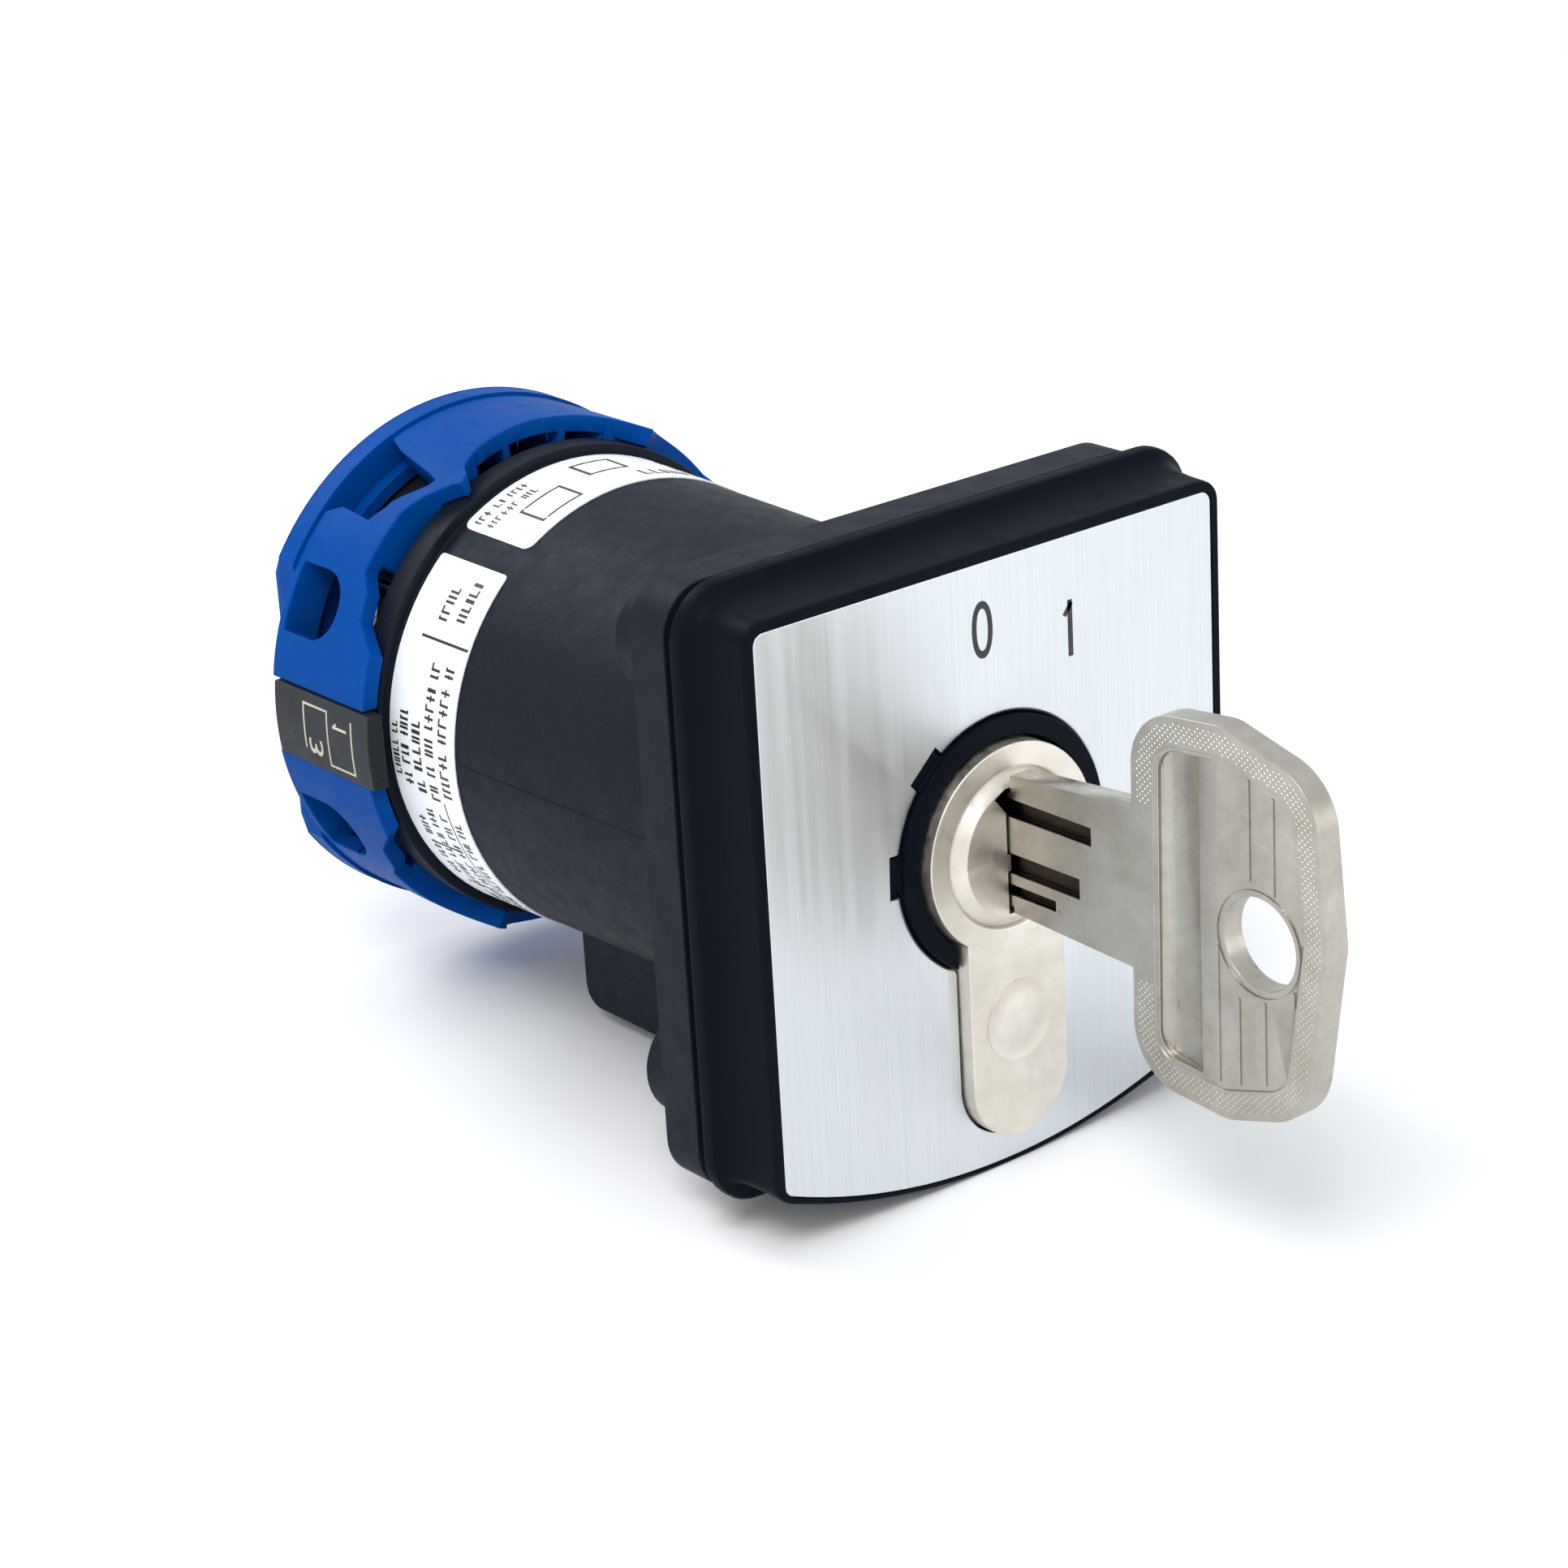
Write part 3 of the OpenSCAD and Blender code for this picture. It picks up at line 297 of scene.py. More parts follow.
# %% Node helpers
class Finish:
    """A material and short ways to add its noises, ramps and bump."""

    def __init__(self, name, metallic=0.0):
        self.material = bpy.data.materials.new(name)
        self.material.use_nodes = True
        self.tree = self.material.node_tree
        self.shader = self.tree.nodes["Principled BSDF"]
        self.shader.inputs["Metallic"].default_value = metallic
        self.place = self.tree.nodes.new("ShaderNodeTexCoord").outputs["Object"]

    def stretched(self, scale):
        """Object coordinates drawn out along an axis, as brushing is."""
        mapping = self.tree.nodes.new("ShaderNodeMapping")
        mapping.inputs["Scale"].default_value = scale
        self.tree.links.new(self.place, mapping.inputs["Vector"])
        return mapping.outputs["Vector"]

    def noise(self, scale, detail=3.0, rough=0.5, place=None, twist=0.0):
        node = self.tree.nodes.new("ShaderNodeTexNoise")
        node.inputs["Scale"].default_value = scale
        node.inputs["Detail"].default_value = detail
        node.inputs["Roughness"].default_value = rough
        node.inputs["Distortion"].default_value = twist
        self.tree.links.new(place or self.place, node.inputs["Vector"])
        return node.outputs[0]

    def ramp(self, value, stops):
        """Colours along a value, from a list of (position, colour)."""
        node = self.tree.nodes.new("ShaderNodeValToRGB")
        self.tree.links.new(value, node.inputs["Fac"])
        elements = node.color_ramp.elements
        elements[0].position, elements[0].color = stops[0][0], (*stops[0][1], 1)
        elements[1].position, elements[1].color = stops[-1][0], (*stops[-1][1], 1)
        for position, colour in stops[1:-1]:
            elements.new(position).color = (*colour, 1)
        return node.outputs["Color"]

    def spread(self, value, low, high, start=0.3, end=0.7):
        """Turns a noise into a number between low and high."""
        node = self.tree.nodes.new("ShaderNodeMapRange")
        self.tree.links.new(value, node.inputs["Value"])
        node.inputs["From Min"].default_value = start
        node.inputs["From Max"].default_value = end
        node.inputs["To Min"].default_value = low
        node.inputs["To Max"].default_value = high
        return node.outputs["Result"]

    def times(self, first, second):
        """Two numbers multiplied."""
        node = self.tree.nodes.new("ShaderNodeMath")
        node.operation = "MULTIPLY"
        self.tree.links.new(first, node.inputs[0])
        self.tree.links.new(second, node.inputs[1])
        return node.outputs["Value"]

    def mix(self, amount, first, second):
        """Mixes two colours by an amount."""
        node = self.tree.nodes.new("ShaderNodeMix")
        node.data_type = "RGBA"
        self.tree.links.new(amount, node.inputs[0])
        for socket, colour in ((node.inputs[6], first), (node.inputs[7], second)):
            if isinstance(colour, tuple):
                socket.default_value = (*colour, 1)
            else:
                self.tree.links.new(colour, socket)
        return node.outputs[2]

    def colour(self, value):
        self.tree.links.new(value, self.shader.inputs["Base Color"])

    def roughness(self, value):
        self.tree.links.new(value, self.shader.inputs["Roughness"])

    def bump(self, height, strength, depth):
        """Bump on top of any bump already there; depth in mm."""
        node = self.tree.nodes.new("ShaderNodeBump")
        node.inputs["Strength"].default_value = strength
        node.inputs["Distance"].default_value = depth * MM
        self.tree.links.new(height, node.inputs["Height"])
        normal = self.shader.inputs["Normal"]
        if normal.is_linked:
            self.tree.links.new(normal.links[0].from_socket, node.inputs["Normal"])
        self.tree.links.new(node.outputs["Normal"], normal)


# %% [markdown]
# ## Moulded plastics
# The housing is glass-filled plastic with a fine spark-eroded grain and a dusting of
# handling marks. The frame is the same black, but polished smoother. The cover's blue is
# pigmented right through, so its wear is only in the gloss.


# %% Plastics
def moulded(name, dark, light, rough, grain, depth, strength=0.5, gloss=0.25):
    """Plastic with cloudy colour, a fine grain and scuffed gloss."""
    finish = Finish(name)
    finish.shader.inputs["Specular IOR Level"].default_value = gloss
    clouds = finish.noise(90, 4, 0.6)
    finish.colour(finish.ramp(clouds, [(0.3, dark), (0.7, light)]))
    scuffs = finish.noise(420, 5, 0.7)
    finish.roughness(finish.spread(scuffs, rough - 0.07, rough + 0.09))
    finish.bump(finish.noise(grain, 2, 0.6), strength, depth)
    return finish.material


def dusty_housing():
    """The grained black of the housing, greyer where dust sits in the grain."""
    finish = Finish("grained black plastic")
    finish.shader.inputs["Specular IOR Level"].default_value = 0.11
    clouds = finish.noise(60, 5, 0.65)
    base = finish.ramp(clouds, [(0.25, (0.0052, 0.0083, 0.0155)), (0.75, (0.0072, 0.0108, 0.0185))])
    specks = finish.spread(finish.noise(2600, 2, 0.7), 0, 0.5, 0.6, 0.8)
    finish.colour(finish.mix(specks, base, (0.018, 0.024, 0.034)))
    finish.roughness(finish.spread(finish.noise(500, 4, 0.7), 0.46, 0.62))
    finish.bump(finish.noise(2400, 3, 0.65), 0.55, 0.05)
    return finish.material


MATERIALS = {
    "housing_black": dusty_housing(),
    "frame_black": moulded("smooth black plastic", (0.0025, 0.0042, 0.008),
                           (0.0036, 0.0056, 0.0102), 0.42, 1500, 0.012, 0.3, 0.035),
    "inner_black": moulded("inner black plastic", (0.008, 0.01, 0.014),
                           (0.013, 0.016, 0.021), 0.5, 1900, 0.03),
    "gasket_rubber": moulded("gasket rubber", (0.008, 0.008, 0.008),
                             (0.02, 0.02, 0.019), 0.75, 1200, 0.05),
    "cream_plastic": moulded("cream plastic", (0.62, 0.58, 0.46),
                             (0.7, 0.67, 0.56), 0.45, 1500, 0.02),
    "blue_plastic": moulded("blue plastic", (0.0004, 0.05, 0.25),
                            (0.0008, 0.06, 0.3), 0.44, 1100, 0.015, 0.35, 0.03),
}
print("plastics:", len(MATERIALS))

# %% [markdown]
# ## Metals
# The face plate is brushed from top to bottom: the noise is drawn out along z, so that
# it becomes fine upright lines. The nickel of the lock and key is warm, with stains and
# fine scratches. The inside metals are brighter and cleaner.


# %% Metals
def brushed_plate():
    """Satin aluminium with upright brush lines."""
    finish = Finish("brushed plate", metallic=1.0)
    lines = finish.noise(1.0, 4, 0.7, finish.stretched((5200, 400, 55)))
    broad = finish.noise(1.0, 2, 0.5, finish.stretched((900, 200, 20)))
    finish.colour(finish.ramp(lines, [(0.3, (0.66, 0.69, 0.715)), (0.7, (0.72, 0.75, 0.775))]))
    finish.roughness(finish.spread(broad, 0.3, 0.42))
    finish.bump(lines, 0.18, 0.008)
    finish.shader.inputs["Anisotropic"].default_value = 0.3
    return finish.material


def worn_nickel(name, dark, light, stain, spots=0.62, smooth=0.24, dull=0.42):
    """Nickel plate with brownish stains, fine scratches and a handled gloss."""
    finish = Finish(name, metallic=1.0)
    clouds = finish.noise(240, 5, 0.7)
    base = finish.ramp(clouds, [(0.3, dark), (0.7, light)])
    marks = finish.spread(finish.noise(700, 6, 0.75, twist=0.6), 0, 0.85, spots, spots + 0.12)
    finish.colour(finish.mix(marks, base, stain))
    finish.roughness(finish.spread(finish.noise(900, 5, 0.7), smooth, dull))
    scratches = finish.noise(1.0, 3, 0.7, finish.stretched((700, 3500, 900)))
    finish.bump(scratches, 0.25, 0.01)
    finish.bump(finish.noise(1300, 3, 0.6), 0.25, 0.012)
    return finish.material


def turned(name, dark, light, rough):
    """A plain turned or rolled metal with a fine surface."""
    finish = Finish(name, metallic=1.0)
    finish.colour(finish.ramp(finish.noise(350, 4, 0.6), [(0.3, dark), (0.7, light)]))
    finish.roughness(finish.spread(finish.noise(1100, 4, 0.7), rough - 0.07, rough + 0.08))
    finish.bump(finish.noise(2500, 2, 0.6), 0.2, 0.01)
    return finish.material


MATERIALS["plate_metal"] = brushed_plate()
MATERIALS["nickel"] = worn_nickel("worn nickel", (0.38, 0.35, 0.3), (0.5, 0.475, 0.43),
                                  (0.13, 0.095, 0.065))
lock_nickel = worn_nickel("lock nickel", (0.68, 0.63, 0.55), (0.82, 0.77, 0.7),
                          (0.26, 0.2, 0.14), 0.68, 0.36, 0.55)
MATERIALS["zinc_steel"] = turned("zinc plated steel", (0.48, 0.49, 0.5), (0.66, 0.66, 0.66), 0.33)
MATERIALS["spring_steel"] = turned("spring wire", (0.4, 0.4, 0.4), (0.55, 0.55, 0.55), 0.3)
MATERIALS["pin_brass"] = turned("pin brass", (0.6, 0.43, 0.16), (0.76, 0.58, 0.27), 0.3)
MATERIALS["contact_copper"] = turned("contact copper", (0.62, 0.3, 0.17), (0.76, 0.41, 0.26), 0.32)
MATERIALS["contact_silver"] = turned("contact silver", (0.76, 0.75, 0.72), (0.9, 0.89, 0.87), 0.25)

# %% [markdown]
# ## Label film and print
# The rating labels are white vinyl film, a little glossy, with faint waves from being
# pressed on by hand. The print is a thin black ink that is rougher than the film.


# %% Film and ink
def printed(name, dark, light, rough):
    finish = Finish(name)
    finish.colour(finish.ramp(finish.noise(300, 4, 0.6), [(0.3, dark), (0.7, light)]))
    finish.roughness(finish.spread(finish.noise(200, 3, 0.6), rough - 0.06, rough + 0.08))
    finish.bump(finish.noise(260, 2, 0.5), 0.25, 0.03)
    return finish.material


MATERIALS["label_film"] = printed("label film", (0.86, 0.885, 0.9), (0.9, 0.92, 0.93), 0.32)
ink_black = printed("black ink", (0.008, 0.008, 0.01), (0.02, 0.02, 0.022), 0.45)
ink_cream = printed("cream ink", (0.42, 0.4, 0.3), (0.55, 0.52, 0.41), 0.5)
print("finishes:", len(MATERIALS) + 2)

# %% Every CAD node takes its slot's finish
for node, piece in frame["nodes"].items():
    for place in piece.material_slots:
        place.material = MATERIALS[slot_of_node[node]]
print("nodes painted:", len(frame["nodes"]))

# %% [markdown]
# ## Pieces whose CAD shape is right
# Most pieces only need their edges rounded. A copy of the CAD mesh is merged, since the
# CAD mesh is loose triangles, and then takes a small bevel: 0.1 to 0.3 mm on mouldings,
# less on turned metal. The bevel catches the light as real edges do.

# %% Rounded copies
EDGE_MM = {
    "face_plate": 0.09, "lock_collar": 0.14, "cylinder_body": 0.12, "lock_plug": 0.08,
    "terminal_cover": 0.16, "rear_plate": 0.06, "left_marking_strip": 0.14,
    "right_marking_strip": 0.14, "through_bolts": 0.1, "cylinder_screw": 0.1,
    "terminal_screws": 0.1, "clamp_plates": 0.1, "contact_stage": 0.12,
    "panel_gasket": 0.2, "lock_cam": 0.15, "coupling_driver": 0.12, "star_wheel": 0.12,
    "latch_housing": 0.12, "switch_shaft": 0.15,
}
for node, width in EDGE_MM.items():
    piece = cad_copy(node, node + "_rounded")
    round_edges(piece, width)
    smooth_by_angle(piece)
    lock = node in ("cylinder_body", "lock_plug")
    finish_piece(piece, node, lock_nickel if lock else MATERIALS[slot_of_node[node]])
print("rounded copies:", len(EDGE_MM))

# %% [markdown]
# ## The turned edge of the plate's hole
# The plate's hole has a pressed edge that shines as a bright line round the collar. Its
# edges are found by their distance from the axis, and bevelled wider than the rest.


# %% Plate hole
def press_plate_hole():
    piece = bpy.data.objects["face_plate_rounded"]
    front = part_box("face_plate")[0][1]
    bm = bmesh.new()
    bm.from_mesh(piece.data)
    hole = [e for e in bm.edges
            if all(abs(v.co.y - front) < 0.01 * MM
                   and 10.35 * MM < math.hypot(v.co.x, v.co.z) < 10.65 * MM for v in e.verts)
            and e.calc_face_angle(0) > 1]
    bmesh.ops.bevel(bm, geom=hole, offset=0.4 * MM, offset_type="OFFSET", segments=4,
                    profile=0.5, affect="EDGES", material=-1)
    bm.to_mesh(piece.data)
    bm.free()
    smooth_by_angle(piece)
    print("pressed edges:", len(hole))


press_plate_hole()

# %% [markdown]
# ## A pressed circle on the lock's tail
# The tail's face has a shallow pressed circle. It is a short disc whose front face is
# inset and sunk again, so only a fine ring stands out.


# %% Pressed circle
def make_pressed_circle():
    lock_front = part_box("cylinder_body")[0][1] / MM
    bm = rod(3.4, lock_front - 0.07, lock_front + 0.05, 0, -14.6, 96)
    front = min(bm.faces, key=lambda f: f.calc_center_median().y)
    bmesh.ops.inset_region(bm, faces=[front], thickness=0.12 * MM, depth=0)
    bmesh.ops.inset_region(bm, faces=[front], thickness=0.25 * MM, depth=-0.05 * MM)
    bmesh.ops.inset_region(bm, faces=[front], thickness=1.0 * MM, depth=0)
    bmesh.ops.inset_region(bm, faces=[front], thickness=0.2 * MM, depth=0.035 * MM)
    piece = new_object("tail_pressed_circle", bm)
    smooth_by_angle(piece, 50)
    finish_piece(piece, "cylinder_body", lock_nickel, hides=False)
    print("pressed circle at z -14.6 mm, radius 3.4 mm")


make_pressed_circle()

# %% [markdown]
# ## The housing
# The housing is one moulding. Its mounting plate has a generous radius all round, larger
# than on the tube, so those edges are picked out and bevelled first.


# %% Housing
def make_housing():
    piece = cad_copy("lock_housing", "lock_housing_moulded")
    bm = bmesh.new()
    bm.from_mesh(piece.data)
    rim = []
    for edge in bm.edges:
        a, b = (v.co for v in edge.verts)
        outer = all(abs(math.hypot(max(abs(c.x) - 21 * MM, 0), max(abs(c.z) - 21 * MM, 0))
                        - 4 * MM) < 0.05 * MM for c in (a, b))
        flat = abs(a.y - b.y) < 0.01 * MM and abs(a.y - 4 * MM) < 0.01 * MM
        if outer and flat and edge.calc_face_angle(0) > 1.2:
            rim.append(edge)
    bmesh.ops.bevel(bm, geom=rim, offset=1.0 * MM, offset_type="OFFSET", segments=4,
                    profile=0.5, affect="EDGES", clamp_overlap=True, material=-1)
    corner = [e for e in bm.edges if abs(e.verts[0].co.y - e.verts[1].co.y) < 0.01 * MM
              and e.verts[0].co.y > 36 * MM and e.verts[0].co.z < -20 * MM
              and e.verts[1].co.z < -20 * MM and e.calc_face_angle(0) > 1.2
              and abs(e.verts[0].co.z - e.verts[1].co.z) < 0.01 * MM
              and e.verts[0].co.z < -25.5 * MM]
    bmesh.ops.bevel(bm, geom=corner, offset=2.0 * MM, offset_type="OFFSET", segments=6,
                    profile=0.5, affect="EDGES", clamp_overlap=True, material=-1)
    bm.to_mesh(piece.data)
    bm.free()
    round_edges(piece, 0.15, segments=2)
    smooth_by_angle(piece)
    finish_piece(piece, "lock_housing", MATERIALS["housing_black"])
    print("housing: mounting plate edges rounded", len(rim), "pocket edges", len(corner))


make_housing()

# %% [markdown]
# ## The front frame
# The frame is a square moulding with a thin rim round the face plate, a hollow cove on
# its sides and a rounded flange behind. The flange is straight below, and the rim
# follows the plate's curve. Rings that blend from one outline to the other follow the
# cove's profile. The recess for the plate and the opening for the lock are cut last.

# %% Front frame
plate_low, plate_high = (Vector(c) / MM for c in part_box("face_plate"))
frame_low, frame_high = (Vector(c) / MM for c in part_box("front_frame"))
PLATE_HALF = plate_high.x
PLATE_TOP = plate_high.z
PLATE_SAG = 4.95
PLATE_CORNERS = -plate_low.z - PLATE_SAG
PLATE_FRONT = plate_low.y
FLANGE_HALF = frame_high.x
FLANGE_OUT = FLANGE_HALF - PLATE_HALF
RIM = 0.7


def frame_outline(out, corner_r, depth):
    """The plate's outline grown by a distance, in mm."""
    return bulged_outline(PLATE_HALF + out, PLATE_TOP + out, PLATE_CORNERS + out,
                          PLATE_SAG, corner_r, depth)


def outline_points(half, top, low, sag, corner_r):
    """The corners of a bulged outline, in order, in metres."""
    bm = bulged_outline(half, top, low, sag, corner_r, 0)
    points = [vert.co.copy() for vert in bm.verts]
    bm.free()
    return points


def make_front_frame():
    """Rings that blend from the flange's outline to the rim's, joined up."""
    flange = outline_points(FLANGE_HALF, PLATE_TOP + FLANGE_OUT,
                            PLATE_CORNERS + FLANGE_OUT, 0.05, 4.5)
    rim = outline_points(PLATE_HALF + RIM, PLATE_TOP + RIM, PLATE_CORNERS + RIM / 2,
                         PLATE_SAG, 1.7)
    profile = [(-0.5, 0), (0, 0.55), (0, 0.75), (0.12, 0.35), (0.35, 0.25), (0.28, 0.18),
               (0.3, 0.3), (0.28, 0.55), (0.2, 0.75), (0.14, 0.9), (0.08, 1.0),
               (0.03, 0.9), (0.03, 0.35), (0.07, 0.14), (0.12, 0.08)]
    whole = sum(inwards for inwards, forwards in profile if inwards > 0)
    bm = bmesh.new()
    rings = []
    share, depth = 0.0, frame_high.y
    for inwards, forwards in profile:
        share += max(inwards, 0) / whole
        depth -= forwards
        shrink = 1 + min(inwards, 0) / FLANGE_HALF
        lower_share = min(1, 2.4 * share)
        ring = []
        for outer, inner in zip(flange, rim):
            blend = lower_share if outer.z < 0 else share
            ring.append(bm.verts.new(((outer.x + (inner.x - outer.x) * share) * shrink,
                                      depth * MM,
                                      (outer.z + (inner.z - outer.z) * blend) * shrink)))
        rings.append(ring)
    count = len(flange)
    for back, front in zip(rings, rings[1:]):
        for k in range(count):
            after = (k + 1) % count
            bm.faces.new((back[k], back[after], front[after], front[k]))
    bm.faces.new(rings[0])
    bm.faces.new(rings[-1])
    bmesh.ops.recalc_face_normals(bm, faces=bm.faces)
    reach = frame_high.y - min(v.co.y for v in bm.verts) / MM
    print("frame reaches", round(reach, 2), "mm forwards of its seat")
    piece = new_object("front_frame_moulded", bm)
    recess = frame_outline(0.05, 1.0, PLATE_FRONT - 1)
    carve(piece, new_object("recess", slab(recess, 1.8)))
    hollow = frame_outline(-1.0, 1.0, PLATE_FRONT - 1)
    carve(piece, new_object("hollow", slab(hollow, 6.0)))
    carve(piece, new_object("opening", rod(13.2, -6, 1)))
    carve(piece, new_object("tail opening", box((-7.6, -6, -25.1), (7.6, 1, 0))))
    for x in (-18, 18):
        for z in (-18, 18):
            carve(piece, new_object("panel screw hole", rod(2.2, -6, 1, x, z, 32)))
        carve(piece, new_object("frame screw hole", rod(1.55, -6, 1, x, 0, 32)))
    round_edges(piece, 0.08)
    smooth_by_angle(piece, 28)
    finish_piece(piece, "front_frame", MATERIALS["frame_black"])


make_front_frame()

# %% [markdown]
# ## The face plate's print
# The plate has a dark line just inside its right and lower edges, and the numbers 0 and
# 1 above the lock. The numbers are text turned into mesh, squeezed to a narrow face and
# laid on the metal as thin ink.

# %% Numbers on the plate
INK_THICK = 0.02


def bar(x0, x1, z0, z1, lean=0.0):
    """A flat stroke of ink in the front view, in mm, leaning by some degrees."""
    bm = box((x0, 0, z0), (x1, INK_THICK, z1))
    middle = Vector(((x0 + x1) / 2, 0, (z0 + z1) / 2)) * MM
    bmesh.ops.rotate(bm, verts=bm.verts, cent=middle,
                     matrix=Matrix.Rotation(math.radians(lean), 3, "Y"))
    return bm


def one(width, height, stroke):
    """The number 1: a stem with a short leaning flag."""
    bm = bar(width / 2 - stroke, width / 2, -height / 2, height / 2)
    flag = height * 0.27
    add_to(bm, bar(-stroke * 0.1, stroke * 0.75, height / 2 - flag - stroke * 0.2,
                   height / 2 - stroke * 0.2, 38))
    return bm


def rounded_number(text, width, height):
    """A round number as a thin flat mesh, centred on the origin, in the front view."""
    curve = bpy.data.curves.new("number " + text, "FONT")
    curve.body = text
    curve.extrude = 0.5
    curve.resolution_u = 8
    source = bpy.data.objects.new("number " + text, curve)
    scene.collection.objects.link(source)
    graph = bpy.context.evaluated_depsgraph_get()
    mesh = bpy.data.meshes.new_from_object(source.evaluated_get(graph))
    bpy.data.objects.remove(source)
    bm = bmesh.new()
    bm.from_mesh(mesh)
    bmesh.ops.remove_doubles(bm, verts=bm.verts, dist=1e-5)
    low = Vector([min(v.co[i] for v in bm.verts) for i in range(3)])
    high = Vector([max(v.co[i] for v in bm.verts) for i in range(3)])
    bmesh.ops.translate(bm, verts=bm.verts, vec=-(low + high) / 2)
    size = high - low
    fit = Vector((width / size.x, height / size.y, INK_THICK / size.z)) * MM
    bmesh.ops.scale(bm, verts=bm.verts, vec=fit)
    bmesh.ops.rotate(bm, verts=bm.verts, matrix=Matrix.Rotation(math.radians(90), 3, "X"))
    return bm


def make_plate_print():
    bm = bmesh.new()
    zero, one_mark = rounded_number("0", 2.1, 4.6), one(1.25, 4.6, 0.5)
    for shape, x, z in ((zero, -1.2, 17.8), (one_mark, 7.5, 15.6)):
        bmesh.ops.translate(shape, verts=shape.verts,
                            vec=Vector((x, PLATE_FRONT - INK_THICK / 2, z)) * MM)
        add_to(bm, shape)
    edge_line = frame_outline(-0.55, 0.8, PLATE_FRONT - INK_THICK)
    inner = bmesh.ops.inset_region(edge_line, faces=edge_line.faces[:], thickness=0.13 * MM,
                                   depth=0, use_even_offset=True)
    middle = [f for f in edge_line.faces if f not in inner["faces"]]
    bmesh.ops.delete(edge_line, geom=middle, context="FACES")
    bmesh.ops.solidify(edge_line, geom=edge_line.faces[:], thickness=INK_THICK * MM)
    bmesh.ops.recalc_face_normals(edge_line, faces=edge_line.faces)
    add_to(bm, edge_line)
    piece = new_object("plate_numbers", bm)
    finish_piece(piece, "face_plate", ink_black, hides=False)
    print("plate print: 0 and 1, 4.5 mm tall")


make_plate_print()

# %% [markdown]
# ## The key
# A flat key is stamped from sheet. Its bow has a knurled border, a sunk panel with a
# hollow for the thumb, and fine ridges. The blank is the CAD copy. The panel is cut with
# the bow's own outline drawn in by 2.3 mm, and the hollow with a wide cylinder.

# %% The bow's outline
key_low, key_high = (Vector(c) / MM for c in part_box("key"))
KEY_HALF = key_high.x
BOW_DISCS = ((-20.5, 11, 4.8), (-24.5, 12.2, 4), (-29.3, 9.7, 5.2), (-32.3, 1.5, 3),
             (-28.6, -8.4, 5.2), (-24.8, -10.8, 4), (-20.2, -9.7, 4.8))
RING_HOLE = (-37.0, 0.3, 3.6)


def bow_slab(grow, x0, x1, segments=40):
    """The hull of the discs that make the bow, grown by a distance, between two x."""
    bm = bmesh.new()
    for along, z, radius in BOW_DISCS:
        for x in (x0, x1):
            made = bmesh.ops.create_circle(bm, segments=segments, radius=(radius + grow) * MM)
            bmesh.ops.rotate(bm, verts=made["verts"],
                             matrix=Matrix.Rotation(math.radians(90), 3, "Y"))
            bmesh.ops.translate(bm, verts=made["verts"],
                                vec=Vector((x, PLATE_FRONT + along, z)) * MM)
    hull = bmesh.ops.convex_hull(bm, input=bm.verts[:])
    loose = [g for g in hull["geom_interior"] if isinstance(g, bmesh.types.BMVert)]
    bmesh.ops.delete(bm, geom=loose, context="VERTS")
    bmesh.ops.delete(bm, geom=[e for e in bm.edges if not e.link_faces], context="EDGES")
    bmesh.ops.dissolve_limit(bm, angle_limit=math.radians(0.5), verts=bm.verts, edges=bm.edges)
    bmesh.ops.recalc_face_normals(bm, faces=bm.faces)
    return bm


def inside_bow(grow):
    """A test for points inside the bow's outline grown by a distance, as (y, z) in mm."""
    bm = bow_slab(grow, -1, 1)
    side = min(bm.faces, key=lambda f: f.calc_center_median().x)
    loop = [(v.co.y / MM, v.co.z / MM) for v in side.verts]
    bm.free()
    pairs = list(zip(loop, loop[1:] + loop[:1]))

    def test(y, z):
        turns = [(b[0] - a[0]) * (z - a[1]) - (b[1] - a[1]) * (y - a[0]) for a, b in pairs]
        return all(t >= 0 for t in turns) or all(t <= 0 for t in turns)

    return test


# %% Key blank, panels and thumb hollow
PANEL_IN = -2.35
PANEL_DEEP = 0.14


def make_key():
    piece = cad_copy("key", "key_stamped")
    for side in (-1, 1):
        face = side * KEY_HALF
        floor = face - side * PANEL_DEEP
        panel = bow_slab(PANEL_IN, min(face + side, floor), max(face + side, floor))
        carve(piece, new_object("panel", panel))
        thumb = new_object("thumb hollow", bow_slab(PANEL_IN - 0.35, min(face + side, 0),
                                                    max(face + side, 0)))
        wide = bmesh.new()
        radius = 6.5
        bmesh.ops.create_cone(wide, cap_ends=True, segments=180, radius1=radius * MM,
                              radius2=radius * MM, depth=60 * MM)
        bmesh.ops.translate(wide, verts=wide.verts, vec=Vector(
            (floor + side * (radius - 0.58), PLATE_FRONT - 19.9, 0)) * MM)
        carve(thumb, new_object("thumb", wide), "INTERSECT")
        carve(piece, thumb)
    bm = bmesh.new()
    bm.from_mesh(piece.data)
    bmesh.ops.remove_doubles(bm, verts=bm.verts, dist=0.002 * MM)
    bmesh.ops.dissolve_limit(bm, angle_limit=math.radians(0.5), verts=bm.verts, edges=bm.edges)
    bm.to_mesh(piece.data)
    bm.free()
    round_edges(piece, 0.07)
    smooth_by_angle(piece)
    finish_piece(piece, "key", MATERIALS["nickel"])
    print("key:", len(piece.data.polygons), "faces before rounding")


make_key()
